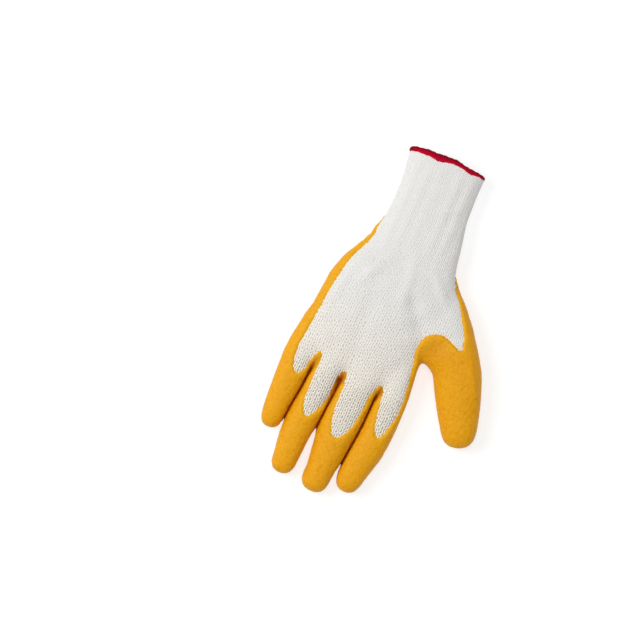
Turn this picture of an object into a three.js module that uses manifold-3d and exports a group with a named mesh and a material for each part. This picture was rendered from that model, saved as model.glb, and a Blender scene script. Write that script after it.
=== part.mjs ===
// Right-hand work glove, lying palm down: a seamless knitted liner with a ribbed cuff, dipped in
// latex over the palm, the thumb and the fingers, with an overlocked edge round the cuff.
// Millimetres, +Z up. The cuff opens towards -Y, the fingers point to +Y, the thumb is at -X.
import * as THREE from 'three';
import { mergeVertices } from 'three/addons/utils/BufferGeometryUtils.js';
import Module from 'manifold-3d';

const wasm = await Module();
wasm.setup();

// Driving dimensions of the knitted liner, on its outer face
const CUFF_LENGTH = 74; // from the bound edge to the change from rib to plain knit
const CUFF_WIDTH = 54.5;
const CUFF_THICK = 19;
const PALM_LENGTH = 83; // from the cuff to the crotches of the fingers
const PALM_WIDTH = 87; // across the knuckles
const PALM_THICK = 26;
const THUMB_LENGTH = 47.5; // from the thumb's crotch to its tip
const THUMB_WIDTH = 31;
const THUMB_THICK = 20;
const THUMB_LEAN = THREE.MathUtils.degToRad(23.5); // away from the fingers
const FINGER_LENGTH = 81.5; // of the middle finger, beyond the crotches
const FINGER_WIDTH = 22.2; // of the middle finger at its root
const FINGER_THICK = 16.5; // of the middle finger at its root
const FINGER_TIP = 8; // length of a finger's rounded end
const THUMB_TIP = 10;
const PALM_END = 5; // length over which the palm closes between the fingers
const FINGER_SPLIT = 2.5; // from the crotches to where the fingers' own pieces start

// Driving dimensions of the walls and the trim
const KNIT_WALL = 1.3;
const CUFF_WALL = 1.8; // the ribs make it thicker than the plain knit
const COAT_WALL = 1.2;
const CLEARANCE = 0.3; // between pieces that touch
const RIB_COUNT = 44; // round the cuff
const RIB_DEPTH = 0.7;
const RIB_RELIEF = 0.4; // how far the ribs stand back from the plain knit
const WRIST_SLANT = 0.24; // rise of the rib's end line towards the little finger
const HEM_LENGTH = 4.2; // overlocked edge, along the cuff
const HEM_THICK = 3.4;
const HEM_WAVE = 0.7; // how far the edge wanders along the cuff
const HEM_WAVES = 3; // round the cuff

// Fineness of the facets
const BODY_SIDES = 22;
const FINGER_SIDES = 12;
const THUMB_SIDES = 12;
const HEM_SIDES = 32;
const HEM_STEPS = 6;
const OUTLINE_STEPS = 240; // points of a section before it is divided evenly
const LOBE_STEPS = 6;
const END_TURNS = [0, 50, 80]; // degrees of the quarter circle on which the palm closes
const TIP_TURNS = [0, 40, 74]; // degrees of the quarter circle of a finger's end
const MERGE_DISTANCE = 1e-4;

// Fingers: length, width and thick are shares of the middle finger's. At is where the root stands
// across the palm, as a share of PALM_WIDTH. Lean and bow are how far the tip and the middle stand
// towards the little finger, as shares of the width. Bare is the share of the length that the
// coating leaves open on the back, and bareShift moves that tongue, as a share of the width.
const FINGER_TABLE = [
  {
    name: 'index', length: 0.899, width: 0.892, thick: 0.909,
    at: -0.357, lean: 0.28, bow: 0, bare: 0.41, bareShift: -0.1,
  },
  {
    name: 'middle', length: 1, width: 1, thick: 1,
    at: -0.073, lean: 0.06, bow: 0, bare: 0.53, bareShift: 0,
  },
  {
    name: 'ring', length: 0.974, width: 0.793, thick: 0.939,
    at: 0.199, lean: 0.12, bow: 0.06, bare: 0.46, bareShift: -0.05,
  },
  {
    name: 'little', length: 0.654, width: 0.829, thick: 0.879,
    at: 0.444, lean: -0.02, bow: 0.05, bare: 0.25, bareShift: -0.12,
  },
];

// Form of a finger. Along is a share of its length, width and thick of its root's, and rise is
// the height of its middle line over the ground as a share of its thickness.
const FINGER_FORM = [
  { along: -0.4, width: 0.8, thick: 0.7, rise: 0.86 },
  { along: -0.14, width: 0.96, thick: 1.04, rise: 0.78 },
  { along: 0.08, width: 1, thick: 1.07, rise: 0.69 },
  { along: 0.52, width: 1.03, thick: 1, rise: 0.57 },
  { along: 0.68, width: 0.95, thick: 0.97, rise: 0.51 },
  { along: 0.8, width: 0.84, thick: 0.92, rise: 0.46 },
];
const FINGER_END = { width: 0.78, thick: 0.84, rise: 0.41 };

// Form of the cuff. Along is a share of CUFF_LENGTH, thumbSide and littleSide are the places of
// its two edges as shares of CUFF_WIDTH, and thick is a share of CUFF_THICK.
const CUFF_FORM = [
  { along: 0, thumbSide: -0.499, littleSide: 0.501, thick: 0.98 },
  { along: 0.2, thumbSide: -0.501, littleSide: 0.453, thick: 1 },
  { along: 0.4, thumbSide: -0.506, littleSide: 0.433, thick: 1.02 },
  { along: 0.67, thumbSide: -0.59, littleSide: 0.446, thick: 1.1 },
  { along: 0.89, thumbSide: -0.637, littleSide: 0.52, thick: 1.17 },
];

// Form of the palm, as shares of PALM_LENGTH from the cuff, PALM_WIDTH and PALM_THICK.
const PALM_FORM = [
  { along: 0, thumbSide: -0.41, littleSide: 0.375, thick: 0.87 },
  { along: 0.12, thumbSide: -0.413, littleSide: 0.437, thick: 0.95 },
  { along: 0.29, thumbSide: -0.414, littleSide: 0.483, thick: 1 },
  { along: 0.58, thumbSide: -0.415, littleSide: 0.502, thick: 1 },
  { along: 0.75, thumbSide: -0.42, littleSide: 0.53, thick: 0.93 },
  { along: 0.87, thumbSide: -0.436, littleSide: 0.549, thick: 0.83 },
];
const PALM_LAST = { thumbSide: -0.446, littleSide: 0.551, thick: 0.7 };
const RIB_REACH = 0.2; // share of PALM_LENGTH whose sections the ribbed tube may use before it is cut

// Root of the thumb inside and beside the palm: the outer and the inner end of each section, as
// shares of PALM_WIDTH across and PALM_LENGTH from the cuff, and the share of THUMB_THICK.
const THUMB_ROOT = [
  { outX: -0.36, outY: -0.06, inX: -0.05, inY: -0.02, thick: 0.7 },
  { outX: -0.457, outY: 0.006, inX: -0.08, inY: 0.1, thick: 0.92 },
  { outX: -0.578, outY: 0.128, inX: -0.12, inY: 0.22, thick: 1.08 },
  { outX: -0.684, outY: 0.257, inX: -0.18, inY: 0.36, thick: 1.12 },
  { outX: -0.818, outY: 0.437, inX: -0.27, inY: 0.51, thick: 1.09 },
];
const THUMB_START = { x: -0.741, y: 0.639 }; // middle of the free thumb's first section
// Form of the free thumb, as shares of THUMB_LENGTH, THUMB_WIDTH and THUMB_THICK. Side is how far
// it bows away from the fingers, as a share of the width.
const THUMB_FORM = [
  { along: 0, width: 1, thick: 1, side: 0 },
  { along: 0.25, width: 0.955, thick: 0.97, side: 0.02 },
  { along: 0.48, width: 0.89, thick: 0.92, side: 0.04 },
];
const THUMB_END = { width: 0.77, thick: 0.85, side: 0.04 };

// Where the thumb's pieces start, just past its crotch, as a share of PALM_LENGTH from the cuff
const THUMB_SPLIT = 0.663;

// Folds on the back: place and half length as shares of PALM_WIDTH and PALM_LENGTH, direction in
// degrees from X, half width and depth as shares of PALM_THICK. A negative depth is a dent.
const FOLDS = [
  { x: 0.05, y: 0.02, length: 0.3, angle: 12, width: 0.16, depth: -0.05 },
  { x: 0.2, y: 0.15, length: 0.16, angle: 62, width: 0.15, depth: 0.04 },
  { x: -0.1, y: 0.14, length: 0.2, angle: 100, width: 0.17, depth: 0.05 },
  { x: -0.22, y: 0.3, length: 0.24, angle: 128, width: 0.2, depth: -0.05 },
  { x: 0.1, y: 0.55, length: 0.3, angle: 95, width: 0.22, depth: -0.04 },
];

// Edge of the coating as the back shows it, as shares of PALM_WIDTH and PALM_LENGTH: up the
// little finger's side, and down the thumb's side with the wedge over the thumb's root.
const BARE_LITTLE_SIDE = [
  { x: 0.75, y: -0.3 },
  { x: 0.28, y: -0.31 },
  { x: 0.3, y: -0.11 },
  { x: 0.358, y: 0.02 },
  { x: 0.41, y: 0.2 },
  { x: 0.445, y: 0.42 },
  { x: 0.459, y: 0.67 },
  { x: 0.478, y: 0.885 },
];
const BARE_THUMB_SIDE = [
  { x: -0.43, y: 0.925 },
  { x: -0.384, y: 0.695 },
  { x: -0.353, y: 0.585 },
  { x: -0.374, y: 0.45 },
  { x: -0.48, y: 0.382 },
  { x: -0.599, y: 0.417 },
  { x: -0.684, y: 0.457 },
  { x: -0.655, y: 0.328 },
  { x: -0.547, y: 0.154 },
  { x: -0.409, y: -0.068 },
  { x: -0.75, y: -0.068 },
];
const BARE_LOBE_WIDTH = 0.42; // half the open tongue on a finger, as a share of its width
const BARE_LOBE_ROUND = 2.5; // roundness of its end
const BARE_NOTCH = 0.05; // how far the coating reaches down between two tongues, of PALM_LENGTH

// Edge of the coating on the palm, as shares of CUFF_WIDTH and CUFF_LENGTH.
const PALM_EDGE = [
  { x: 1.4, y: 0.65 },
  { x: 0.5, y: 0.65 },
  { x: 0.26, y: 0.49 },
  { x: 0, y: 0.41 },
  { x: -0.28, y: 0.46 },
  { x: -0.5, y: 0.66 },
  { x: -0.66, y: 0.9 },
  { x: -1.4, y: 0.9 },
];

// Values that follow from them
const GROUND = COAT_WALL + CLEARANCE; // height of the liner's flat underside
const FLAT_SHARE = 0.47; // height of a resting section's middle line, as a share of its thickness
const COAT_INSIDE = CLEARANCE;
const COAT_OUTSIDE = CLEARANCE + COAT_WALL;
const CROTCH = CUFF_LENGTH + PALM_LENGTH;
const FINGERS = FINGER_TABLE.map((row) => ({
  ...row,
  length: row.length * FINGER_LENGTH,
  width: row.width * FINGER_WIDTH,
  thick: row.thick * FINGER_THICK,
}));
const FINGER_WIDEST = Math.max(...FINGER_FORM.map((row) => row.width)); // share of a root's width
const BODY_ROUND = 2.5; // roundness of the hand's sections, 2 is an ellipse
const FINGER_ROUND = 2.2;
const REACH = 400; // beyond the glove on every side, for cutting
const COAT_LEVEL = GROUND + FLAT_SHARE * CUFF_THICK; // above it the coating's edge is the back's

const knit = new THREE.MeshStandardMaterial({ color: 0xe6e4e0, roughness: 0.95, metalness: 0 });
const latex = new THREE.MeshStandardMaterial({ color: 0xe6a11c, roughness: 0.5, metalness: 0 });
const overlock = new THREE.MeshStandardMaterial({ color: 0xb8092b, roughness: 0.9, metalness: 0 });

function signedPower(value, power) {
  return Math.sign(value) * Math.abs(value) ** power;
}

// Height of all the folds together at a point of the back.
function foldHeight(x, y) {
  let height = 0;
  for (const fold of FOLDS) {
    const angle = THREE.MathUtils.degToRad(fold.angle);
    const dx = x - fold.x * PALM_WIDTH;
    const dy = y - CUFF_LENGTH - fold.y * PALM_LENGTH;
    const along = (dx * Math.cos(angle) + dy * Math.sin(angle)) / (fold.length * PALM_LENGTH);
    const across = (dy * Math.cos(angle) - dx * Math.sin(angle)) / (fold.width * PALM_THICK);
    height += fold.depth * PALM_THICK * Math.exp(-along * along - across * across);
  }
  return height;
}

// One point of a section, at a turn round it: the section is a rounded oval between its two ends,
// flattened where it meets the ground. Grow moves it out from the liner's outer face.
function sectionPoint(section, grow, turn) {
  const middle = section.out.clone().add(section.in).multiplyScalar(0.5);
  const across = section.in.clone().sub(section.out);
  const half = across.length() / 2;
  across.normalize();
  const side = signedPower(Math.cos(turn), 2 / section.round);
  const up = signedPower(Math.sin(turn), 2 / section.round);
  const reach = (half + grow) * side;
  const x = middle.x + across.x * reach;
  const y = middle.y + across.y * reach;
  const lift = up > 0 ? foldHeight(x, y) * up * section.fold : 0;
  const z = section.mid + (section.thick / 2 + grow) * up + lift;
  return new THREE.Vector3(x, y, Math.max(z, GROUND - grow));
}

function sectionRing(section, grow, sides) {
  const ring = [];
  for (let side = 0; side < sides; side++) {
    ring.push(sectionPoint(section, grow, (2 * Math.PI * side) / sides));
  }
  return ring;
}

// A section divided into equal lengths. Rib is how far every second point stands back.
function evenRing(section, grow, sides, rib = 0) {
  const turns = [];
  for (let step = 0; step <= OUTLINE_STEPS; step++) {
    turns.push((2 * Math.PI * step) / OUTLINE_STEPS);
  }
  const points = turns.map((turn) => sectionPoint(section, grow, turn));
  const lengths = [0];
  for (let step = 1; step <= OUTLINE_STEPS; step++) {
    lengths.push(lengths[step - 1] + points[step].distanceTo(points[step - 1]));
  }
  const ring = [];
  let step = 0;
  for (let side = 0; side < sides; side++) {
    const target = (lengths[OUTLINE_STEPS] * side) / sides;
    while (lengths[step + 1] < target) {
      step++;
    }
    const share = (target - lengths[step]) / (lengths[step + 1] - lengths[step]);
    const turn = THREE.MathUtils.lerp(turns[step], turns[step + 1], share);
    ring.push(sectionPoint(section, grow - (side % 2 ? rib : 0), turn));
  }
  return ring;
}

// Joins rings of equal size into one closed surface, with a point in the middle of each end.
function skinRings(rings, closedRound = false) {
  const sides = rings[0].length;
  const points = rings.flat();
  const index = [];
  const last = closedRound ? rings.length : rings.length - 1;
  for (let row = 0; row < last; row++) {
    for (let side = 0; side < sides; side++) {
      const next = (side + 1) % sides;
      const a = row * sides + side;
      const b = row * sides + next;
      const c = ((row + 1) % rings.length) * sides + side;
      const d = ((row + 1) % rings.length) * sides + next;
      index.push(a, d, b, a, c, d);
    }
  }
  if (!closedRound) {
    for (const row of [0, rings.length - 1]) {
      const centre = new THREE.Vector3();
      rings[row].forEach((point) => centre.add(point));
      points.push(centre.divideScalar(sides));
      for (let side = 0; side < sides; side++) {
        const a = row * sides + side;
        const b = row * sides + ((side + 1) % sides);
        index.push(points.length - 1, row === 0 ? a : b, row === 0 ? b : a);
      }
    }
  }
  const geometry = new THREE.BufferGeometry();
  const places = points.flatMap((point) => point.toArray());
  geometry.setAttribute('position', new THREE.Float32BufferAttribute(places, 3));
  geometry.setIndex(index);
  return geometry;
}

function toSolid(geometry) {
  const bare = geometry.clone();
  bare.deleteAttribute('normal');
  bare.deleteAttribute('uv');
  const merged = mergeVertices(bare, MERGE_DISTANCE);
  return new wasm.Manifold(new wasm.Mesh({
    numProp: 3,
    vertProperties: new Float32Array(merged.attributes.position.array),
    triVerts: new Uint32Array(merged.index.array),
  }));
}

function toMesh(solid, name, material) {
  const mesh = solid.getMesh();
  const geometry = new THREE.BufferGeometry();
  geometry.setAttribute('position', new THREE.BufferAttribute(new Float32Array(mesh.vertProperties), 3));
  geometry.setIndex(Array.from(mesh.triVerts));
  geometry.computeVertexNormals();
  const result = new THREE.Mesh(geometry, material);
  result.name = name;
  return result;
}

// A block between two corners.
function block(low, high) {
  const size = high.clone().sub(low);
  const middle = low.clone().add(high).multiplyScalar(0.5);
  return toSolid(new THREE.BoxGeometry(size.x, size.y, size.z).translate(middle.x, middle.y, middle.z));
}

// An upright prism over an outline.
function prism(outline, bottom, top) {
  const shape = new THREE.Shape(outline);
  const geometry = new THREE.ExtrudeGeometry(shape, { depth: top - bottom, bevelEnabled: false });
  return toSolid(geometry.translate(0, 0, bottom));
}

// A section across the Y axis, lying on the ground.
function straightSection(y, thumbX, littleX, thick) {
  return {
    out: new THREE.Vector2(thumbX, y),
    in: new THREE.Vector2(littleX, y),
    mid: GROUND + FLAT_SHARE * thick,
    thick,
    round: BODY_ROUND,
    fold: 1,
  };
}

// The cuff and the palm, from the cuff's edge to the crotches.
function bodySections(grow) {
  const rows = CUFF_FORM.map((row) => straightSection(
    row.along * CUFF_LENGTH,
    row.thumbSide * CUFF_WIDTH,
    row.littleSide * CUFF_WIDTH,
    row.thick * CUFF_THICK,
  ));
  for (const row of PALM_FORM) {
    const y = CUFF_LENGTH + row.along * PALM_LENGTH;
    const thick = row.thick * PALM_THICK;
    rows.push(straightSection(y, row.thumbSide * PALM_WIDTH, row.littleSide * PALM_WIDTH, thick));
  }
  for (const turn of END_TURNS) {
    const angle = THREE.MathUtils.degToRad(turn);
    const y = CROTCH - PALM_END + (PALM_END + grow) * Math.sin(angle);
    const full = PALM_LAST.thick * PALM_THICK;
    const thick = (full + 2 * grow) * Math.cos(angle) - 2 * grow;
    const thumbX = PALM_LAST.thumbSide * PALM_WIDTH;
    const section = straightSection(y, thumbX, PALM_LAST.littleSide * PALM_WIDTH, thick);
    section.mid = GROUND + FLAT_SHARE * full;
    section.fold = Math.cos(angle);
    rows.push(section);
  }
  return rows;
}

// The cuff's outline at a distance from its edge.
function cuffSection(y) {
  const rows = bodySections(0);
  const next = Math.max(1, rows.findIndex((row) => row.out.y >= y));
  const low = rows[next - 1];
  const high = rows[next];
  const share = (y - low.out.y) / (high.out.y - low.out.y);
  return {
    out: low.out.clone().lerp(high.out, share),
    in: low.in.clone().lerp(high.in, share),
    mid: THREE.MathUtils.lerp(low.mid, high.mid, share),
    thick: THREE.MathUtils.lerp(low.thick, high.thick, share),
    round: BODY_ROUND,
    fold: 1,
  };
}

// Rounds off the end of a finger or the thumb: the last sections shrink along a quarter circle.
function roundedEnd(end, direction, length, grow, rise) {
  const sections = [];
  const across = new THREE.Vector2(direction.y, -direction.x);
  for (const turn of TIP_TURNS) {
    const angle = THREE.MathUtils.degToRad(turn);
    const forward = (length + grow) * Math.sin(angle);
    const half = (end.width / 2 + grow) * Math.cos(angle) - grow;
    const middle = end.middle.clone().addScaledVector(direction, forward);
    sections.push({
      out: middle.clone().addScaledVector(across, -half),
      in: middle.clone().addScaledVector(across, half),
      mid: GROUND + rise * end.thick,
      thick: (end.thick + 2 * grow) * Math.cos(angle) - 2 * grow,
      round: FINGER_ROUND,
      fold: 0,
    });
  }
  return sections;
}

// The middle line of a finger at a share of its length.
function fingerMiddle(finger, along) {
  const bow = finger.bow * finger.width * Math.sin(Math.PI * THREE.MathUtils.clamp(along, 0, 1));
  const lean = finger.lean * finger.width * Math.max(along, 0);
  return new THREE.Vector2(finger.at * PALM_WIDTH + lean + bow, CROTCH + along * finger.length);
}

function fingerSections(finger, grow) {
  const rows = FINGER_FORM.map((row) => {
    const middle = fingerMiddle(finger, row.along);
    const half = (row.width * finger.width) / 2;
    const thick = row.thick * finger.thick;
    return {
      out: middle.clone().add(new THREE.Vector2(-half, 0)),
      in: middle.clone().add(new THREE.Vector2(half, 0)),
      mid: GROUND + row.rise * finger.thick,
      thick,
      round: FINGER_ROUND,
      fold: 0,
    };
  });
  const tipStart = 1 - FINGER_TIP / finger.length;
  const end = {
    middle: fingerMiddle(finger, tipStart),
    width: FINGER_END.width * finger.width,
    thick: FINGER_END.thick * finger.thick,
  };
  rows.push(...roundedEnd(end, new THREE.Vector2(0, 1), FINGER_TIP, grow, FINGER_END.rise));
  return rows;
}

function thumbSections(grow) {
  const rows = THUMB_ROOT.map((row) => ({
    out: new THREE.Vector2(row.outX * PALM_WIDTH, CUFF_LENGTH + row.outY * PALM_LENGTH),
    in: new THREE.Vector2(row.inX * PALM_WIDTH, CUFF_LENGTH + row.inY * PALM_LENGTH),
    mid: GROUND + FLAT_SHARE * row.thick * THUMB_THICK,
    thick: row.thick * THUMB_THICK,
    round: BODY_ROUND,
    fold: 0,
  }));
  const direction = new THREE.Vector2(-Math.sin(THUMB_LEAN), Math.cos(THUMB_LEAN));
  const across = new THREE.Vector2(direction.y, -direction.x);
  const start = new THREE.Vector2(THUMB_START.x * PALM_WIDTH, CUFF_LENGTH + THUMB_START.y * PALM_LENGTH);
  const middleAt = (row) => start.clone()
    .addScaledVector(direction, row.along * THUMB_LENGTH)
    .addScaledVector(across, -row.side * THUMB_WIDTH);
  for (const row of THUMB_FORM) {
    const middle = middleAt(row);
    const half = (row.width * THUMB_WIDTH) / 2;
    rows.push({
      out: middle.clone().addScaledVector(across, -half),
      in: middle.clone().addScaledVector(across, half),
      mid: GROUND + FLAT_SHARE * row.thick * THUMB_THICK,
      thick: row.thick * THUMB_THICK,
      round: FINGER_ROUND,
      fold: 0,
    });
  }
  const tipShare = 1 - THUMB_TIP / THUMB_LENGTH;
  const end = {
    middle: middleAt({ ...THUMB_END, along: tipShare }),
    width: THUMB_END.width * THUMB_WIDTH,
    thick: THUMB_END.thick * THUMB_THICK,
  };
  rows.push(...roundedEnd(end, direction, THUMB_TIP, grow, FLAT_SHARE));
  return rows;
}

// The cuff and the palm as one solid, moved out from the liner's outer face by grow. Past the
// cuff's edge it runs on, so that a hollow made with it is open.
function bodySolid(grow) {
  const body = bodySections(grow);
  const first = cuffSection(0);
  first.out.y -= HEM_LENGTH;
  first.in.y -= HEM_LENGTH;
  body.unshift(first);
  return toSolid(skinRings(body.map((section) => sectionRing(section, grow, BODY_SIDES))));
}

// Where two neighbouring fingers touch: a line between them, from the crotch to the shorter one's
// tip, moved towards the little finger by a shift.
function touchLine(thumbward, other, shift) {
  const length = Math.min(thumbward.length, other.length);
  return [0, 1].map((end) => {
    const near = fingerMiddle(thumbward, (end * length) / thumbward.length);
    const far = fingerMiddle(other, (end * length) / other.length);
    const width = end ? FINGER_END.width : 1;
    const gap = (thumbward.width - other.width) * width / 4;
    return new THREE.Vector2((near.x + far.x) / 2 + gap + shift, near.y);
  });
}

// The line through two points, run on past both.
function runOn([from, to]) {
  const step = to.clone().sub(from).setLength(REACH);
  return [from.clone().sub(step), to.clone().add(step)];
}

// The room of a finger between its neighbours, for a solid moved out by grow. Fingers that press
// on each other are flat there, with the clearance between their coatings.
function lane(number, grow) {
  const back = COAT_OUTSIDE + CLEARANCE / 2 - grow;
  const before = FINGERS[number - 1];
  const finger = FINGERS[number];
  const after = FINGERS[number + 1];
  const left = before ? runOn(touchLine(before, finger, back)) : edgeLine(-REACH);
  const right = after ? runOn(touchLine(finger, after, -back)) : edgeLine(REACH);
  return prism([left[0], right[0], right[1], left[1]], -REACH, REACH);
}

function edgeLine(x) {
  return [new THREE.Vector2(x, CROTCH - REACH), new THREE.Vector2(x, CROTCH + REACH)];
}

function fingerSolid(number, grow) {
  const sections = fingerSections(FINGERS[number], grow);
  const rings = sections.map((section) => sectionRing(section, grow, FINGER_SIDES));
  return toSolid(skinRings(rings)).intersect(lane(number, grow));
}

// The whole hand as one solid, with its fingers and its thumb.
function handSolid(grow) {
  let solid = bodySolid(grow);
  FINGERS.forEach((finger, number) => {
    solid = solid.add(fingerSolid(number, grow));
  });
  const rings = thumbSections(grow).map((section) => sectionRing(section, grow, THUMB_SIDES));
  return solid.add(toSolid(skinRings(rings)));
}

// What lies beyond the slanted line where the ribs end, from a distance past it.
function beyondWrist(distance) {
  const y = CUFF_LENGTH + distance;
  return prism([
    new THREE.Vector2(-REACH, y - WRIST_SLANT * REACH),
    new THREE.Vector2(REACH, y + WRIST_SLANT * REACH),
    new THREE.Vector2(REACH, y + WRIST_SLANT * REACH + REACH),
    new THREE.Vector2(-REACH, y - WRIST_SLANT * REACH + REACH),
  ], -REACH, REACH);
}

// The thumb's side of the index finger's pieces.
function besideIndex() {
  const index = FINGERS[0];
  return fingerMiddle(index, 0).x - (FINGER_WIDEST * index.width) / 2 - COAT_OUTSIDE - CLEARANCE;
}

// The free thumb's side of the crotch, from a distance past the line where its pieces start.
function thumbSide(distance) {
  const y = CUFF_LENGTH + THUMB_SPLIT * PALM_LENGTH + distance;
  return block(new THREE.Vector3(-REACH, y, -REACH), new THREE.Vector3(besideIndex(), REACH, REACH));
}

// The free fingers' side of the crotches, from a distance past the line where their pieces start.
function fingerSide(distance) {
  const y = CROTCH + FINGER_SPLIT + distance;
  return block(new THREE.Vector3(besideIndex(), y, -REACH), new THREE.Vector3(REACH, REACH, REACH));
}

// The open tongue on the back of a finger, from its little finger's side to its thumb's side.
function bareLobe(finger) {
  const points = [];
  for (let step = 0; step <= 2 * LOBE_STEPS; step++) {
    const angle = (Math.PI * step) / (2 * LOBE_STEPS);
    const along = finger.bare * signedPower(Math.sin(angle), 2 / BARE_LOBE_ROUND);
    const side = BARE_LOBE_WIDTH * signedPower(Math.cos(angle), 2 / BARE_LOBE_ROUND);
    const middle = fingerMiddle(finger, along);
    const shift = finger.bareShift * finger.width;
    points.push(new THREE.Vector2(middle.x + shift + side * finger.width, middle.y));
  }
  return points;
}

// Everything that the coating leaves open: the back of the hand, and the cuff all round.
function bareRegion() {
  const onPalm = (row) => new THREE.Vector2(row.x * PALM_WIDTH, CUFF_LENGTH + row.y * PALM_LENGTH);
  const outline = BARE_LITTLE_SIDE.map(onPalm);
  const fromLittle = [...FINGERS].reverse();
  fromLittle.forEach((finger, number) => {
    if (number > 0) {
      const gap = fingerMiddle(finger, 0).x + finger.width / 2;
      const before = fromLittle[number - 1];
      const far = fingerMiddle(before, 0).x - before.width / 2;
      outline.push(new THREE.Vector2((gap + far) / 2, CROTCH - BARE_NOTCH * PALM_LENGTH));
    }
    outline.push(...bareLobe(finger));
  });
  outline.push(...BARE_THUMB_SIDE.map(onPalm));
  outline.push(new THREE.Vector2(-REACH, outline.at(-1).y));
  outline.push(new THREE.Vector2(-REACH, -REACH));
  outline.push(new THREE.Vector2(REACH, -REACH));
  outline.push(new THREE.Vector2(REACH, outline[0].y));
  const below = PALM_EDGE.map((row) => new THREE.Vector2(row.x * CUFF_WIDTH, row.y * CUFF_LENGTH));
  below.push(new THREE.Vector2(-REACH, below.at(-1).y));
  below.push(new THREE.Vector2(-REACH, -REACH));
  below.push(new THREE.Vector2(REACH, -REACH));
  below.push(new THREE.Vector2(REACH, below[0].y));
  return prism(outline, COAT_LEVEL, REACH).add(prism(below, -REACH, COAT_LEVEL + CLEARANCE));
}

// How far the edge of the cuff wanders along it, at a share of the way round.
function edgeWave(share) {
  return HEM_WAVE * Math.sin(2 * Math.PI * HEM_WAVES * share);
}

// The ribbed tube, hollow, cut along the slanted line where the ribs end.
function ribbedCuff() {
  const sides = 2 * RIB_COUNT;
  const start = HEM_LENGTH + CLEARANCE;
  const inCuff = CUFF_FORM.map((row) => row.along * CUFF_LENGTH).filter((y) => y > start + HEM_WAVE);
  const reached = PALM_FORM.filter((row) => row.along < RIB_REACH);
  const last = reached.map((row) => CUFF_LENGTH + row.along * PALM_LENGTH);
  const rings = [start, ...inCuff, ...last].map((y, row) => {
    const ring = evenRing(cuffSection(y), -RIB_RELIEF, sides, RIB_DEPTH);
    if (row === 0) {
      ring.forEach((point, side) => {
        point.y += edgeWave(side / sides);
      });
    }
    return ring;
  });
  const hollow = bodySolid(-RIB_RELIEF - CUFF_WALL);
  return toSolid(skinRings(rings)).subtract(hollow).subtract(beyondWrist(-CLEARANCE));
}

// The overlocked edge: a rounded bead that lies against the cuff's end.
function hem() {
  const section = cuffSection(HEM_LENGTH / 2);
  const rings = [];
  for (let step = 0; step < HEM_STEPS; step++) {
    const angle = (2 * Math.PI * step) / HEM_STEPS;
    const grow = (HEM_THICK / 2) * Math.cos(angle) - RIB_RELIEF - CUFF_WALL / 2;
    const ring = evenRing(section, grow, HEM_SIDES);
    ring.forEach((point, side) => {
      point.y = (HEM_LENGTH / 2) * (1 + Math.sin(angle)) + edgeWave(side / HEM_SIDES);
    });
    rings.push(ring);
  }
  return toSolid(skinRings(rings, true));
}

const liner = handSolid(0).subtract(handSolid(-KNIT_WALL)).intersect(beyondWrist(0));
const bare = bareRegion();
const coat = handSolid(COAT_OUTSIDE).subtract(handSolid(COAT_INSIDE)).subtract(bare);
const palmSide = (solid) => solid.subtract(thumbSide(0)).subtract(fingerSide(0));

const glove = new THREE.Group();
glove.add(toMesh(hem(), 'cuff_hem', overlock));
glove.add(toMesh(ribbedCuff(), 'rib_cuff', knit));
glove.add(toMesh(palmSide(liner), 'knit_palm', knit));
glove.add(toMesh(liner.intersect(thumbSide(CLEARANCE)), 'knit_thumb', knit));
glove.add(toMesh(palmSide(coat), 'latex_palm', latex));
glove.add(toMesh(coat.intersect(thumbSide(CLEARANCE)), 'latex_thumb', latex));
const free = fingerSide(CLEARANCE);
FINGERS.forEach((finger, number) => {
  const tube = fingerSolid(number, 0).subtract(fingerSolid(number, -KNIT_WALL)).intersect(free);
  const skin = fingerSolid(number, COAT_OUTSIDE).subtract(fingerSolid(number, COAT_INSIDE));
  glove.add(toMesh(tube, `knit_${finger.name}`, knit));
  glove.add(toMesh(skin.intersect(free).subtract(bare), `latex_${finger.name}`, latex));
});

// The origin is under the middle of the glove, on the surface that it lies on.
const extent = new THREE.Box3().setFromObject(glove);
const middle = extent.getCenter(new THREE.Vector3());
glove.position.set(-middle.x, -middle.y, -extent.min.z);

export default glove;
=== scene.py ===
# %% [markdown]
# A knitted work glove dipped in latex, lying palm down.
#
# The real glove is made in three steps, and this lesson follows them. A machine knits a liner
# with a ribbed cuff, in one piece and without a seam. The cuff's raw end is overlocked with a
# coloured yarn. Then the palm and the fingers are dipped in latex, whose surface is crinkled
# before it sets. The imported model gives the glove's place and size, and everything here is built
# around it in the same frame, in metres.

import bpy
import numpy as np
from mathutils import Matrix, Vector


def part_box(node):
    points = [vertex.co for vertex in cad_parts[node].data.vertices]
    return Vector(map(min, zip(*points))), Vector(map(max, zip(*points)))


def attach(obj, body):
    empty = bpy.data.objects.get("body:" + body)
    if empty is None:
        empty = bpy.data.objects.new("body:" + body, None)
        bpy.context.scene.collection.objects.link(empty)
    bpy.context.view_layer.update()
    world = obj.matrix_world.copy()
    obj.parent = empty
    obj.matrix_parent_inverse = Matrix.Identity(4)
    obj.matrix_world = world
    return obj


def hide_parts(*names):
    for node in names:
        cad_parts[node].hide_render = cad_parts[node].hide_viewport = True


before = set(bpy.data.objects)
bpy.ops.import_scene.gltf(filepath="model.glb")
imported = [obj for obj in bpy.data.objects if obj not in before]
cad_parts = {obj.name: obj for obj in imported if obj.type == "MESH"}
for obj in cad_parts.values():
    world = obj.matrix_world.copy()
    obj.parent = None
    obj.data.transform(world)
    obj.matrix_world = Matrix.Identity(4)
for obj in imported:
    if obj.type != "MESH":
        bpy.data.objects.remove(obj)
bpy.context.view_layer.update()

MM = 0.001
HEM_WANDER = 0.35
hem_low, hem_high = (np.array(corner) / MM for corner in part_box("cuff_hem"))
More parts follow.
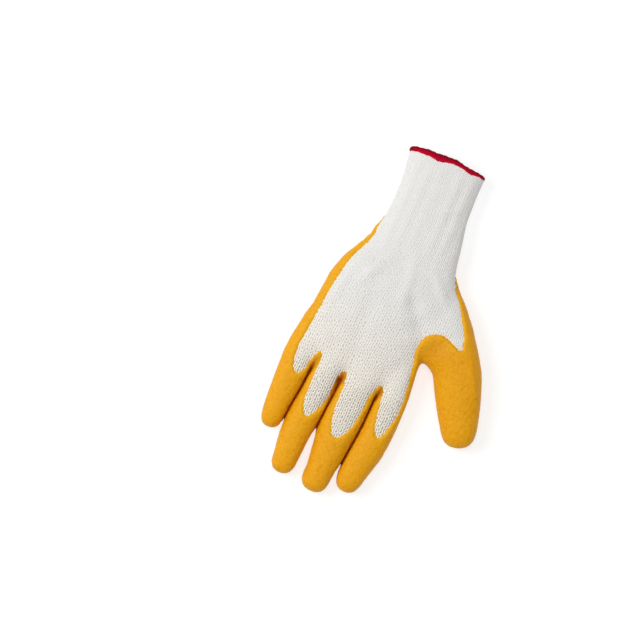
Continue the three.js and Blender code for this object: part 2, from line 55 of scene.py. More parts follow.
# The glove's own frame starts in the middle of the cuff's edge, on the floor.
ORIGIN = np.array([(hem_low[0] + hem_high[0]) / 2, hem_low[1] + HEM_WANDER, 0.0])
print("the glove's own frame starts at", ORIGIN.round(2), "mm")

# %% [markdown]
# Measures that flow
#
# A glove has no straight line in it. Its widths are known at a few places along the hand, and
# between them they must flow. A table of measures could be joined by a spline, but a spline can
# swing past its points. Joining them by straight lines and then averaging over a short window
# stays between the measures and still has no kinks, so this way was chosen.

# %% Flowing curves
DENSE_STEP = 0.5
DENSE = np.arange(-90.0, 290.0, DENSE_STEP)
# Lengths of the waves in a ripple, as shares of the ripple's own length
WAVE_SHARES = (0.75, 1.4)
# what ripples: how far, in its own unit, the ripple's length, seed
RIPPLES = {
    "coating line": (0.3, 6.0, 3),
    "coating edge": (0.25, 2.4, 4),
    "wale": (0.07, 8.0, 12),
    "course": (0.32, 9.0, 13),
    "pleats": (0.3, 9.0, 14),
    "swells": (0.2, 13.0, 33),
}


def flowing(places, values, window=12.0):
    """A curve through a table: straight lines between the measures, averaged with a bell-shaped
    weight over the window. Returns a function of the place."""
    weights = np.hanning(int(window / DENSE_STEP) | 1)
    weights /= weights.sum()
    half = len(weights) // 2
    straight = np.interp(DENSE, places, values)
    smooth = np.convolve(np.pad(straight, half, mode="edge"), weights, mode="valid")
    return lambda place: np.interp(place, DENSE, smooth)


def smooth_step(value, low, high):
    """0 below low, 1 above high, and between them t squared times (3 - 2t)."""
    share = np.clip((value - low) / (high - low), 0.0, 1.0)
    return share * share * (3.0 - 2.0 * share)


def ripple(points, length, seed, waves=18):
    """Soft random relief between about -1 and 1: the mean of plane waves of about one length,
    whose directions and phases are drawn from a seed."""
    draw = np.random.default_rng(seed)
    ways = draw.normal(size=(waves, points.shape[-1]))
    ways /= np.linalg.norm(ways, axis=1, keepdims=True)
    ways *= 2.0 * np.pi / (length * draw.uniform(*WAVE_SHARES, (waves, 1)))
    phases = draw.uniform(0.0, 2.0 * np.pi, waves)
    return np.cos(points @ ways.T + phases).sum(axis=-1) / np.sqrt(2.0 * waves)


def rippled(points, what):
    """One of the named ripples: its size times the random relief."""
    size, length, seed = RIPPLES[what]
    return size * ripple(points, length, seed)


print("curves run from", DENSE[0], "to", DENSE[-1], "mm, with", len(RIPPLES), "ripples on them")


# %% [markdown]
# The hand's shape
#
# The liner is a tube for the cuff and palm that branches into five smaller tubes. Lofting each
# tube on its own leaves hard seams where they meet, and sewing their grids together by hand is
# slow. A distance rule needs neither: for any point it says how far it lies outside the liner,
# each tube has a simple rule, and a soft minimum of the rules melts the tubes into one hand with
# rounded webs. All measures are in millimetres, of the knit's outer face.

# %% Measures of the palm
CUFF_END = 74.0
PALM_LONG = 83.0
CROTCH = CUFF_END + PALM_LONG
# How high the knit lies over the floor, on its coating, and how thick the coating is
FLOOR_GAP = 1.25
COAT = 1.1
# Powers of the ovals: 2 would be an ellipse, and more is squarer.
OVAL_BODY = 2.5
OVAL_FINGER = 2.25
OVAL_TIP = 2.4
# The middle of the palm and of the thumb lies at this share of their thickness.
MID_HEIGHT = 0.47

# along the hand, thumb's edge, little finger's edge, thickness
BODY = np.array([
    (-6.0, -27.0, 27.2, 18.4),
    (0.0, -27.2, 27.2, 18.6),
    (14.8, -27.3, 24.7, 19.0),
    (29.6, -27.8, 23.6, 19.4),
    (49.6, -32.2, 24.3, 20.9),
    (65.9, -34.7, 28.3, 22.2),
    (74.0, -35.7, 32.6, 22.8),
    (84.0, -35.9, 38.0, 24.7),
    (98.0, -36.0, 42.0, 26.0),
    (122.0, -36.1, 43.9, 26.0),
    (136.3, -36.5, 46.3, 24.4),
    (146.2, -37.6, 47.9, 22.0),
    (157.0, -38.6, 48.0, 19.0),
])
# The webs between the fingers slope down from the back to the middle of the hand.
WEB_LOW = 166.5
WEB_FROM = 6.0
WEB_SLOPE = 0.8
WEB_ROUND = 5.0
print("the knit of the palm is", round(np.ptp(BODY[-2, 1:3]), 1), "mm wide")

# %% Measures of the fingers
# name: end, thickness
FINGERS = {
    "index": (231.4, 15.0),
    "middle": (240.0, 16.5),
    "ring": (237.2, 15.5),
    "little": (211.9, 14.5),
}
# along the hand, thumb's side and little finger's side of each coated finger
EDGES = {
    "index": [(138, -37.2, -21.0), (150, -39.3, -21.0), (158, -40.5, -20.7), (166, -41.2, -19.6),
              (182, -41.5, -19.5), (192, -41.0, -18.9), (201, -40.2, -18.1), (211, -37.7, -17.3),
              (219, -35.8, -17.0), (226, -34.4, -17.6)],
    "middle": [(150, -20.2, 6.4), (158, -20.1, 6.4), (166, -18.9, 6.3), (174, -18.8, 6.6),
               (182, -18.8, 7.5), (193, -18.3, 8.1), (204, -17.2, 7.2), (214, -16.4, 5.8),
               (223, -15.0, 4.4), (231, -14.4, 4.3)],
    "ring": [(150, 6.9, 27.0), (158, 6.9, 27.3), (166, 7.4, 27.8), (180, 7.9, 28.8),
             (193, 8.7, 30.1), (202, 9.9, 30.6), (211, 10.5, 30.5), (218, 10.7, 29.5),
             (228, 11.2, 27.9)],
    "little": [(138, 27.6, 46.4), (150, 27.6, 48.8), (158, 28.0, 49.7), (166, 28.6, 49.9),
               (180, 29.7, 49.2), (193, 31.1, 48.2), (200, 31.5, 47.6), (204, 31.7, 46.8)],
}
# percent of the finger's length past the crotch, share of the thickness, height of the middle
FINGER_FORM = np.array([
    (-40.0, 0.70, 0.86),
    (-14.0, 1.04, 0.78),
    (8.0, 1.07, 0.69),
    (30.0, 1.04, 0.63),
    (52.0, 1.00, 0.57),
    (68.0, 0.97, 0.51),
    (80.0, 0.93, 0.47),
    (90.0, 0.87, 0.43),
])
# Where the fingers' tubes start inside the palm, and how long their round tips are
FINGER_ROOT = 134.0
FINGER_TIP = 9.0
# Below their middles the fingers lean on each other, up to where the slots open.
# A lean starts this far over the middle, is whole so much lower, and runs out before its end.
LEAN = 1.5
LEAN_TOP = 2.0
LEAN_FADE = 5.0
LEAN_RUN_OUT = 10.0
SLOT_ENDS = {"index": 219.0, "middle": 207.0, "ring": 207.0}
print("the fingers end at", {name: end for name, (end, thick) in FINGERS.items()}, "mm")

# %% Measures of the thumb and the folds
# The thumb has a frame of its own, whose first axis crosses it and whose second runs to its tip.
THUMB_AT = np.array([-64.0, 127.0])
THUMB_WAY = np.array([-0.399, 0.917])
# along the thumb, outer edge, inner edge, thickness
THUMB = np.array([
    (-78.0, 6.0, 15.0, 13.0),
    (-66.0, 3.6, 18.0, 15.0),
    (-58.4, 0.8, 25.0, 17.5),
    (-44.8, -4.8, 30.0, 20.5),
    (-31.3, -9.1, 30.0, 22.0),
    (-12.9, -13.3, 25.0, 22.2),
    (0.0, -15.5, 15.5, 20.8),
    (12.7, -15.3, 14.3, 19.6),
    (23.6, -14.6, 12.8, 18.4),
    (34.5, -13.3, 10.8, 17.2),
    (42.0, -11.8, 9.4, 16.2),
])
# Where the round tip starts, its length, and where the blunt root starts
THUMB_TIP_FROM = 37.4
THUMB_TIP = 12.0
THUMB_ROOT = -62.0
ROOT_BLUNTNESS = 0.6
# The web between thumb and hand: across, along, reach of its painted shade
THUMB_WEB = (-42.0, 120.0, 8.0)

# Soft folds of the back: place, half length, direction in degrees, half width, height
FOLDS = (
    (4.3, 75.7, 25.0, 12.0, 4.2, -1.2),
    (17.4, 86.5, 13.3, 62.0, 3.9, 1.0),
    (-8.7, 85.6, 16.6, 100.0, 4.4, 1.2),
    (-19.1, 98.9, 20.0, 128.0, 5.2, -1.3),
    (8.7, 119.7, 25.0, 95.0, 5.7, -0.9),
    (-30.0, 79.6, 12.0, 135.0, 3.4, 0.9),
    (2.8, 83.9, 9.0, 20.0, 2.0, -0.7),
    (33.0, 104.0, 18.0, 80.0, 3.6, 0.8),
    (-75.0, 126.0, 15.0, 122.0, 2.6, 0.8),
    (-46.0, 115.0, 11.0, 60.0, 4.5, -1.1),
)
FOLDS_FADE_IN = (10.0, 18.0)
print("the back has", len(FOLDS), "soft folds, up to", max(fold[-1] for fold in FOLDS), "mm high")


# %% [markdown]
# Rules for the tubes
#
# The cuff, the palm, each finger and the thumb are tubes of oval section whose width and
# thickness change along them, and all but the cuff are rounded off at an end. The true distance
# to such a tube needs a search. The size of the oval through a point, less one and divided by how
# fast that size grows, is nearly the distance close to the surface, and it is a plain formula for
# whole arrays of points, so it is used instead.

# %% Rule of an oval tube
# Guards against a division by a slope, or by its square, that is close to nothing
LEAST_SLOPE = 0.02
LEAST_SQUARE = 0.05


def oval_distance(across, up, beyond, oval, half_width, half_thick, tip):
    """Distance outside a tube with a rounded end: the size N of the superellipse through the
    point, joined by a power sum with how far it lies beyond the end, less 1 and divided by the
    slope of N."""
    u = np.abs(across) / half_width
    w = np.abs(up) / half_thick
    ring = (u**oval + w**oval + 1e-9) ** (1.0 / oval)
    slope_u = (u / ring) ** (oval - 1.0) / half_width
    slope_w = (w / ring) ** (oval - 1.0) / half_thick
    cap = beyond / tip
    size = (ring**OVAL_TIP + cap**OVAL_TIP) ** (1.0 / OVAL_TIP)
    ring_share = (ring / size) ** (OVAL_TIP - 1.0)
    cap_share = (cap / size) ** (OVAL_TIP - 1.0)
    slope = np.hypot(ring_share * np.hypot(slope_u, slope_w), cap_share / tip)
    return (size - 1.0) / np.maximum(slope, LEAST_SLOPE)


def soft_min(first, second, reach):
    """The smaller of two distances, rounded where they differ by less than reach."""
    share = np.clip(reach - np.abs(first - second), 0.0, None) / reach
    return np.minimum(first, second) - share * share * reach / 4.0


# %% Palm, fingers and thumb
body_lines = [flowing(BODY[:, 0], BODY[:, column]) for column in (1, 2, 3)]
thumb_lines = [flowing(THUMB[:, 0], THUMB[:, column]) for column in (1, 2, 3)]


def body_distance(x, y, z):
    """The cuff and palm: an oval tube along Y, closed by a slope that makes the webs."""
    thumbward, littleward, thick = (line(y) for line in body_lines)
    middle = FLOOR_GAP + MID_HEIGHT * thick
    half = (littleward - thumbward) / 2.0
    tube = oval_distance(x - (thumbward + littleward) / 2.0, z - middle, 0.0,
                         OVAL_BODY, half, thick / 2.0, 1.0)
    web = (WEB_LOW - y - WEB_SLOPE * np.maximum(z - WEB_FROM, 0.0)) / np.hypot(1.0, WEB_SLOPE)
    return -soft_min(-tube, web, WEB_ROUND)


edge_lines = {
    name: [flowing(*np.array(rows)[:, [0, side]].T, 8.0) for side in (1, 2)]
    for name, rows in EDGES.items()
}
deep_line = flowing(FINGER_FORM[:, 0], FINGER_FORM[:, 1])
rise_line = flowing(FINGER_FORM[:, 0], FINGER_FORM[:, 2])


def lean_on_next(y, up, slot_end):
    """How much wider a finger is on the side of its neighbour: below its middle, along the slot."""
    low = smooth_step(LEAN_TOP - up, 0.0, LEAN_FADE)
    return LEAN * low * smooth_step(slot_end - y, 0.0, LEAN_RUN_OUT)


def finger_distance(name, x, y, z):
    """One finger: an oval tube along Y with a blunt tip, and a round start inside the palm."""
    end, thick = FINGERS[name]
    thumbward, littleward = (line(y) for line in edge_lines[name])
    percent = 100.0 * (y - CROTCH) / (end - CROTCH)
    beyond = np.maximum(y - (end - COAT - FINGER_TIP), FINGER_ROOT - y)
    up = z - FLOOR_GAP - rise_line(percent) * thick
    if name in SLOT_ENDS:
        littleward = littleward + lean_on_next(y, up, SLOT_ENDS[name])
    if name != "index":
        before = list(FINGERS)[list(FINGERS).index(name) - 1]
        thumbward = thumbward - lean_on_next(y, up, SLOT_ENDS[before])
    return oval_distance(x - (thumbward + littleward) / 2.0, up, np.maximum(beyond, 0.0),
                         OVAL_FINGER, (littleward - thumbward) / 2.0 - COAT,
                         deep_line(percent) * thick / 2.0, FINGER_TIP)


def thumb_distance(x, y, z):
    """The thumb and its root: an oval tube along the thumb's own axis."""
    along = (x - THUMB_AT[0]) * THUMB_WAY[0] + (y - THUMB_AT[1]) * THUMB_WAY[1]
    across = (x - THUMB_AT[0]) * THUMB_WAY[1] - (y - THUMB_AT[1]) * THUMB_WAY[0]
    outer, inner, thick = (line(along) for line in thumb_lines)
    beyond = np.maximum(along - THUMB_TIP_FROM, (THUMB_ROOT - along) * ROOT_BLUNTNESS)
    return oval_distance(across - (outer + inner) / 2.0, z - FLOOR_GAP - MID_HEIGHT * thick,
                         np.maximum(beyond, 0.0), OVAL_FINGER,
                         (inner - outer) / 2.0, thick / 2.0, THUMB_TIP)


# %% The whole glove
# Hollows of the underside, under the palm and under the first joints of the fingers: place, half
# width, half length, height
ARCHES = (
    (2.0, 112.0, 20.0, 24.0, 2.2),
    (6.0, 176.0, 34.0, 11.0, 1.1),
)
# How far apart two tubes start to melt together
FINGER_MELT = 0.2
PALM_MELT = 3.2
THUMB_MELT = 7.0
REST_ROUND = 2.5


def fold_height(x, y):
    """Height of the soft folds: a sum of long bell shapes."""
    height = np.zeros_like(x)
    for at_x, at_y, length, turn, width, high in FOLDS:
        angle = np.radians(turn)
        dx, dy = x - at_x, y - at_y
        along = (dx * np.cos(angle) + dy * np.sin(angle)) / length
        across = (dy * np.cos(angle) - dx * np.sin(angle)) / width
        height += high * np.exp(-along**2 - across**2)
    return height


def arch_height(x, y):
    """How far the underside stands off the floor: a sum of bell shapes."""
    return sum(high * np.exp(-((x - at_x) / wide) ** 2 - ((y - at_y) / long) ** 2)
               for at_x, at_y, wide, long, high in ARCHES)


def glove_distance(points):
    """Distance outside the knit's outer face: the soft minimum of all the tubes, less the folds
    on the upper side, cut off softly by the surface that the glove lies on."""
    x, y, z = points[..., 0], points[..., 1], points[..., 2]
    fingers = finger_distance("index", x, y, z)
    for name in ("middle", "ring", "little"):
        fingers = soft_min(fingers, finger_distance(name, x, y, z), FINGER_MELT)
    hand = soft_min(body_distance(x, y, z), fingers, PALM_MELT)
    hand = soft_min(hand, thumb_distance(x, y, z), THUMB_MELT)
    hand = hand - fold_height(x, y) * smooth_step(z, *FOLDS_FADE_IN)
    return -soft_min(-hand, z - FLOOR_GAP - arch_height(x, y), REST_ROUND)


def slopes(points, step=0.05):
    """The distance at each point and its gradient, by small steps along the three axes."""
    here = glove_distance(points)
    moved = [glove_distance(points + step * axis) for axis in np.eye(3)]
    return here, np.stack([(there - here) / step for there in moved], axis=-1)


def settle(points, level, rounds=4, reach=1.5):
    """Moves points onto the surface where the distance equals a level, by Newton steps along the
    gradient."""
    for _ in range(rounds):
        here, gradient = slopes(points)
        size = np.maximum((gradient**2).sum(axis=-1), LEAST_SQUARE)
        step = np.clip((here - level) / size, -reach, reach)
        points = points - step[..., None] * gradient
    return points


def outward(points):
    """The unit normal of the distance rule at each point."""
    gradient = slopes(points)[1]
    return gradient / np.maximum(np.linalg.norm(gradient, axis=-1, keepdims=True), 1e-6)


middle_tip = np.array([-5.0, FINGERS["middle"][0] - COAT, 9.0])
print("the rule at the tip of the middle finger gives", glove_distance(middle_tip).round(2), "mm")


# %% [markdown]
# The edge of the coating
#
# The glove is dipped palm down, so the latex ends in a line that runs up the back on both sides
# and leaves a tongue open on each finger. On the palm it ends in a curve across the wrist. The
# line could be a drawn curve, but only its two sides are free-hand, so each tongue is a short
# table of its two sides. A table of distances to the line, made once, then tells every surface
# how far inside the coating it lies.

# %% Line of the coating
# finger: rows along the hand with the tongue's two sides, its tip, and the notch's two corners
TONGUES = {
    "little": ([(152, 29.3, 42.0), (160, 31.3, 41.6), (166, 32.5, 40.0)],
               (36.3, 170.6), [(28.6, 150.2), (25.2, 150.4)]),
    "ring": ([(160, 8.4, 24.3), (170, 8.5, 25.0), (181, 10.2, 24.0), (189, 13.8, 22.5)],
             (18.6, 194.8), [(8.1, 156.2), (4.9, 156.4)]),
    "middle": ([(162, -16.2, 3.9), (171, -15.2, 3.1), (182, -14.3, 2.6), (192, -11.8, 0.9)],
               (-5.2, 201.4), [(-18.5, 155.2), (-21.7, 155.6)]),
    "index": ([(160, -37.9, -22.7), (169, -38.1, -24.6), (178, -36.3, -26.4), (184, -34.5, -28.4)],
              (-31.8, 188.6), []),
}
LITTLE_SIDE = [(24.4, 48.3), (26.1, 64.9), (31.1, 75.7), (35.7, 90.6), (38.7, 108.9),
               (39.9, 129.6), (41.6, 145.0)]
THUMB_SIDE = [(-37.4, 150.8), (-33.4, 131.7), (-30.7, 122.6), (-32.5, 111.4), (-41.8, 105.7),
              (-52.1, 108.6), (-60.0, 112.6), (-57.0, 101.2), (-47.6, 86.8), (-35.6, 68.4)]
PALM_LINE = np.array([(-80.0, 67.0), (-36.0, 66.6), (-27.0, 49.0), (-15.0, 34.0), (0.0, 30.3),
                      (14.0, 36.0), (27.0, 48.1), (80.0, 48.3)])
FAR = 160.0
CORNER_CUT = 0.25
# Cutting the corners draws the line inwards by about this much.
OPEN_MORE = 0.8


def tongue_sides(rows, tip, notch):
    """A tongue's points: up its side to the little finger, round the tip and back down."""
    up = [(right, y) for y, left, right in rows]
    down = [(left, y) for y, left, right in reversed(rows)]
    return up + [tip] + down + notch


def coating_line():
    """The whole line on the back as one loop, its corners cut twice to round them."""
    line = [(FAR, LITTLE_SIDE[0][1])] + LITTLE_SIDE
    for name in ("little", "ring", "middle", "index"):
        line += tongue_sides(*TONGUES[name])
    line += THUMB_SIDE + [(-FAR, THUMB_SIDE[-1][1]), (-FAR, -FAR), (FAR, -FAR)]
    loop = np.array(line, float)
    for _ in range(2):
        after = np.roll(loop, -1, axis=0)
        early = (1.0 - CORNER_CUT) * loop + CORNER_CUT * after
        late = CORNER_CUT * loop + (1.0 - CORNER_CUT) * after
        loop = np.stack([early, late], axis=1).reshape(-1, 2)
    return loop


def signed_distance(x, y, loop):
    """Distance to a closed line, negative inside it: the least distance to its stretches, with
    the sign from how often a ray to the right crosses it."""
    nearest = np.full(x.shape, 1e9)
    inside = np.zeros(x.shape, bool)
    for (ax, ay), (bx, by) in zip(loop, np.roll(loop, -1, axis=0)):
        dx, dy = bx - ax, by - ay
        share = np.clip(((x - ax) * dx + (y - ay) * dy) / (dx * dx + dy * dy + 1e-12), 0.0, 1.0)
        nearest = np.minimum(nearest, (x - ax - share * dx) ** 2 + (y - ay - share * dy) ** 2)
        if dy != 0.0:
            crosses = (ay > y) != (by > y)
            inside ^= crosses & (x < ax + (y - ay) / dy * dx)
    return np.sqrt(nearest) * np.where(inside, -1.0, 1.0)


# %% How far inside the coating
# The palm's line holds below these heights and the back's above them.
LINES_MEET = (5.0, 14.0)
TABLE_STEP = 0.5
JUST_INSIDE = 1.001
table_x = np.arange(-100.0, 60.0, TABLE_STEP)
table_y = np.arange(-10.0, 250.0, TABLE_STEP)
back_table = signed_distance(*np.meshgrid(table_x, table_y), coating_line())
palm_line = flowing(PALM_LINE[:, 0], PALM_LINE[:, 1], 10.0)
print("table of the coating's line:", back_table.shape)


def from_table(table, x, y):
    """A value between the four nearest entries of the table, in proportion. Places past the
    table take its last entries."""
    across = np.clip((x - table_x[0]) / TABLE_STEP, 0.0, len(table_x) - JUST_INSIDE)
    along = np.clip((y - table_y[0]) / TABLE_STEP, 0.0, len(table_y) - JUST_INSIDE)
    i, j = along.astype(int), across.astype(int)
    u, v = along - i, across - j
    low = table[i, j] * (1 - v) + table[i, j + 1] * v
    high = table[i + 1, j] * (1 - v) + table[i + 1, j + 1] * v
    return low * (1 - u) + high * u


def coated(points):
    """How far inside the coating a point lies: by the line on the back above the hand's middle,
    by the palm's line under it, and softly between the two. Both waver a little."""
    x, y, z = points[..., 0], points[..., 1], points[..., 2]
    back = from_table(back_table, x, y)
    palm = y - palm_line(x)
    share = smooth_step(z, *LINES_MEET)
    flat = np.stack([x, y], axis=-1)
    waver = rippled(flat, "coating line") + rippled(flat, "coating edge")
    return (back - OPEN_MORE) * share + palm * (1.0 - share) + waver


# %% [markdown]
# Putting surfaces into Blender
#
# Every piece below is a wall of cloth or rubber with two faces, closed at its edges, because a
# single sheet has no thickness and looks wrong at an opening. The outer face carries the fine
# stitches and needs many points. The inner face hardly shows, so it keeps only every fourth or
# fifth point each way, and many-sided faces round the edge join the two.

# %% Pieces from arrays
def make_piece(name, points, faces, slot, nodes, **layers):
    """Makes a smooth mesh from points in millimetres in the glove's frame, rides it on the
    glove's only body and lets it stand for its nodes. Each layer of values, such as the relief,
    is kept as an attribute for the materials."""
    mesh = bpy.data.meshes.new(name)
    mesh.from_pydata(((points + ORIGIN) * MM).tolist(), [], faces)
    mesh.polygons.foreach_set("use_smooth", np.ones(len(mesh.polygons), bool))
    for title, values in layers.items():
        layer = mesh.attributes.new(title, "FLOAT", "POINT")
        layer.data.foreach_set("value", values.astype(np.float32))
    mesh.update()
    piece = bpy.data.objects.new(name, mesh)
    bpy.context.scene.collection.objects.link(piece)
    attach(piece, "root")
    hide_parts(*nodes)
    triangles = sum(len(polygon.vertices) - 2 for polygon in mesh.polygons)
    print(name, "has", len(mesh.vertices), "points and", triangles, "triangles")
    return piece


def padded_cells(keep, around):
    """The kept cells with a border, empty or wrapped round where the grid closes on itself."""
    rows = np.pad(keep, ((1, 1), (0, 0)))
    return np.pad(rows, ((0, 0), (1, 1)), mode="wrap" if around else "constant")


def rim_faces(fine, coarse, kept, ratio, step, side):
    """Many-sided faces along one kind of open edge: a run of fine points and back by the two
    coarse ones. The step is one coarse cell along the edge, in rows and columns."""
    row, column = np.nonzero(kept)
    run = np.arange(ratio + 1)
    outer = fine[row[:, None] * ratio + step[0] * run, column[:, None] * ratio + step[1] * run]
    inner = np.stack([coarse[row, column], coarse[row + step[0], column + step[1]]], axis=1)
    return np.concatenate([outer[:, ::side], inner[:, ::-side]], axis=1)


def two_faced(outer, inner, keep, ratio, around=False):
    """Joins a fine outer grid of points and a coarse inner one into a closed wall. Keep says
    which coarse cells are there. Returns the points, the quads and the faces of the rim."""
    fine = np.arange(outer[..., 0].size).reshape(outer.shape[:2])
    coarse = np.arange(inner[..., 0].size).reshape(inner.shape[:2]) + fine.size
    if around:
        fine, coarse = (np.concatenate([grid, grid[:, :1]], axis=1) for grid in (fine, coarse))
    cells = np.repeat(np.repeat(keep, ratio, axis=0), ratio, axis=1)
    top = np.stack([fine[:-1, :-1], fine[:-1, 1:], fine[1:, 1:], fine[1:, :-1]], axis=-1)
    under = np.stack([coarse[:-1, :-1], coarse[1:, :-1], coarse[1:, 1:], coarse[:-1, 1:]], axis=-1)
    border = padded_cells(keep, around)
    below, above = border[:-1, 1:-1], border[1:, 1:-1]
    left, right = border[1:-1, :-1], border[1:-1, 1:]
    rims = [
        rim_faces(fine, coarse, kept, ratio, step, side)
        for kept, step, side in (
            (above & ~below, (0, 1), -1),
            (below & ~above, (0, 1), 1),
            (right & ~left, (1, 0), 1),
            (left & ~right, (1, 0), -1),
        )
    ]
    points = np.concatenate([outer.reshape(-1, 3), inner.reshape(-1, 3)])
    return points, np.concatenate([top[cells], under[keep]]), np.concatenate(rims)


def used_points(count, *faces):
    """Which points any face uses, and the faces renumbered for those points alone."""
    used = np.zeros(count, bool)
    for corners in faces:
        used[corners] = True
    number = np.cumsum(used) - 1
    return used, *(number[corners] for corners in faces)


def then_plain(values, inner, level=0.0):
    """The outer face's values, and then one level for every point of the inner face."""
    return np.concatenate([values.ravel(), np.full(inner[..., 0].size, level)])


# %% [markdown]
# Stitches
#
# A knit is rows of loops. Seen from its right side each loop is a V: two legs spread from its
# foot, and its head hides behind the feet of the next loop. The V's of one needle stand over
# each other in a wale, and the same wales run on from the cuff to the fingers. Elastic in the
# cuff draws them together into ribs. Real loops would need millions of faces, so the legs are
# raised from the surface by a formula of two coordinates: the wale number across and the course
# number along.

# %% Height of the loops
RIBS = 54
COURSE = 2.6
# A loop's leg: its length in courses, and in half wales its half width, how far from the wale's
# middle its foot stands, and how far it spreads from there
LEG_LONG = 1.3
LEG_HALF = 0.37
LEG_FOOT = 0.2
LEG_SPREAD = 0.56
RIB_SPREAD_LESS = 0.06
# How far the leg sinks as it climbs, and where on its way it slips under the next loop
LEG_SINK = 0.3
SLIPS_UNDER = (0.75, 1.0)
# What luck adds to a wale's start, to the place of a foot and to the height of a loop
START_LUCK = 0.3
FOOT_LUCK = 0.14
HEIGHT_LUCK = 0.15
RIB_SINK = 0.4
# Depth of the painted shade in the furrows on the cuff, and what the palm and the fingers add to it
CUFF_SHADE = 0.6
PALM_SHADE = 0.26
FINGER_SHADE = 0.3
PALM_OPENS = (50.0, 130.0)
FINGERS_OPEN = (CROTCH - 6.0, CROTCH + 16.0)


def dice(first, second):
    """An even-handed number from 0 to 1 for each pair of whole numbers: the far digits of a
    large sine."""
    mixed = np.sin(first * 12.9898 + second * 78.233) * 43758.5453
    return mixed - np.floor(mixed)


def loop_relief(wale, course, rib):
    """Height of the knit, 0 to 1. A leg's round back is the root of 1 - d squared, where d is
    the distance from the leg's middle line over half its width. The line spreads from the
    wale's middle as it climbs, and the leg sinks under the next loop. Ribs, from 0 to 1, let
    the wale's borders sink too. No two loops are quite alike, and every other wale comes half a
    loop later."""
    needle = np.floor(wale)
    side = np.abs(2.0 * (wale - needle) - 1.0)
    course = course + 0.5 * (needle % 2.0) + START_LUCK * dice(needle, 0.0)
    row = np.floor(course)
    height = np.zeros(np.broadcast(wale, course).shape)
    for before in (0.0, 1.0):
        luck = dice(needle, row - before)
        climb = (course - row + before) / LEG_LONG
        spread = LEG_FOOT + FOOT_LUCK * luck + (LEG_SPREAD - RIB_SPREAD_LESS * rib) * climb
        back = np.sqrt(np.clip(1.0 - ((side - spread) / LEG_HALF) ** 2, 0.0, 1.0))
        fall = (1.0 - LEG_SINK * climb**2) * (1.0 - smooth_step(climb, *SLIPS_UNDER))
        fall *= 1.0 - HEIGHT_LUCK + HEIGHT_LUCK * luck
        height = np.maximum(height, back * fall)
    cord = np.cos(0.5 * np.pi * side)
    return height * (1.0 - rib * RIB_SINK * (1.0 - cord))


def stretched(y):
    """0 on the palm and 1 on the fingers, whose knit is pulled open."""
    return smooth_step(y, *FINGERS_OPEN)


def shaded_relief(relief, y):
    """The relief for the colours, which paint shade into the furrows: loops lie tight on the cuff and
    open up towards the fingers, so the furrows and their painted shade get deeper along the hand."""
    depth = CUFF_SHADE + PALM_SHADE * smooth_step(y, *PALM_OPENS) + FINGER_SHADE * stretched(y)
    return 1.0 - (1.0 - relief) * depth


tried = loop_relief(*np.meshgrid(np.linspace(0.0, 8.0, 200), np.linspace(0.0, 8.0, 200)), 0.0)
print("the loops are up to", tried.max().round(2), "high and on average", tried.mean().round(2))


# %% [markdown]
# The ribbed cuff
#
# The cuff is a tube of knit drawn together into ribs, narrow at its edge and wider at the wrist,
# where it runs into the hand. A tube is easiest as a grid: one direction goes round, the other
# along. Points start on the oval section and are settled on the hand's distance rule, so cuff
# and hand share one surface. The wales are counted by the arc length round the tube, so their
# number stays the same while the tube widens, and the hand takes its wales from the same count.

# %% Wales round the tube
WRIST_SLANT = 0.24
RIBS_FADE_OUT = (-16.0, 10.0)
FINGER_WALE = 3.15
WALES_WIDEN = (95.0, 150.0)
TURNS = np.linspace(0.0, 2.0 * np.pi, 721)
TOP_TURN = 180


def oval_section(y, grow=0.0):
    """Across and up of the tube's oval for an array of places along it, whose columns are turns
    from the thumb's edge over the back: cosine and sine to the power 2 over the oval's own."""
    thumbward, littleward, thick = (line(y) for line in body_lines)
    cos, sin = np.cos(TURNS), np.sin(TURNS)
    power = 2.0 / OVAL_BODY
    half = (littleward - thumbward) / 2.0 + grow
    x = (thumbward + littleward) / 2.0 - half * np.sign(cos) * np.abs(cos) ** power
    z = FLOOR_GAP + MID_HEIGHT * thick + (thick / 2.0 + grow) * np.sign(sin) * np.abs(sin) ** power
    return x, np.maximum(z, FLOOR_GAP - grow)


def arc_lengths(x, z):
    """Length along each row of an outline, from its first point."""
    steps = np.hypot(np.diff(x, axis=1, prepend=x[:, :1]), np.diff(z, axis=1, prepend=z[:, :1]))
    return np.cumsum(steps, axis=1)


wale_places = np.arange(-8.0, 240.0, 2.0)
arcs = arc_lengths(*oval_section(np.repeat(wale_places[:, None], len(TURNS), axis=1)))
pitch = arcs[:, -1] / RIBS
top_wale = flowing(wale_places, arcs[:, TOP_TURN] / pitch)
widening = smooth_step(wale_places, *WALES_WIDEN)
wale_pitch = flowing(wale_places, pitch + (FINGER_WALE - pitch) * widening, 20.0)
print("wale pitch at the edge, wrist, palm and fingers:", wale_pitch([5, 70, 110, 170]).round(2))


def past_wrist(x, y):
    """How far along the hand a place lies past the slanted line of the wrist."""
    return y - CUFF_END - WRIST_SLANT * x


def rib_share(x, y):
    """How far the wales are drawn into ribs: 1 on the cuff, fading out past the wrist's line."""
    return 1.0 - smooth_step(past_wrist(x, y), *RIBS_FADE_OUT)


# %% [markdown]
# The wall of the cuff
#
# The cuff's outer face is the finest grid of the glove, ten points to a wale, because its loops
# are the smallest. Its first row follows the wandering crimson edge. Its last rows slip under the
# knit of the hand, so that the two grids need not share their points. Only the mouth shows the
# inner face, which is left plain.

# %% Rib cuff
LOOP_HEIGHT = 0.34
# The relief that leaves the knit on the smooth surface
MEAN_LOOP = 0.72
CUFF_WALL = 1.7
CUFF_TO = 4.5
CUFF_ROWS = 41
CUFF_RATIO = 4
RIB_POINTS = 10
# How deep the cuff lies under the latex and under the knit of the hand
UNDER_LATEX = 0.9
UNDER_HAND = 0.6
# Where it dips there: across the coating's line, and over this way past the wrist
CUFF_DIPS = (-0.5, 1.5)
HAND_DIP = 1.6
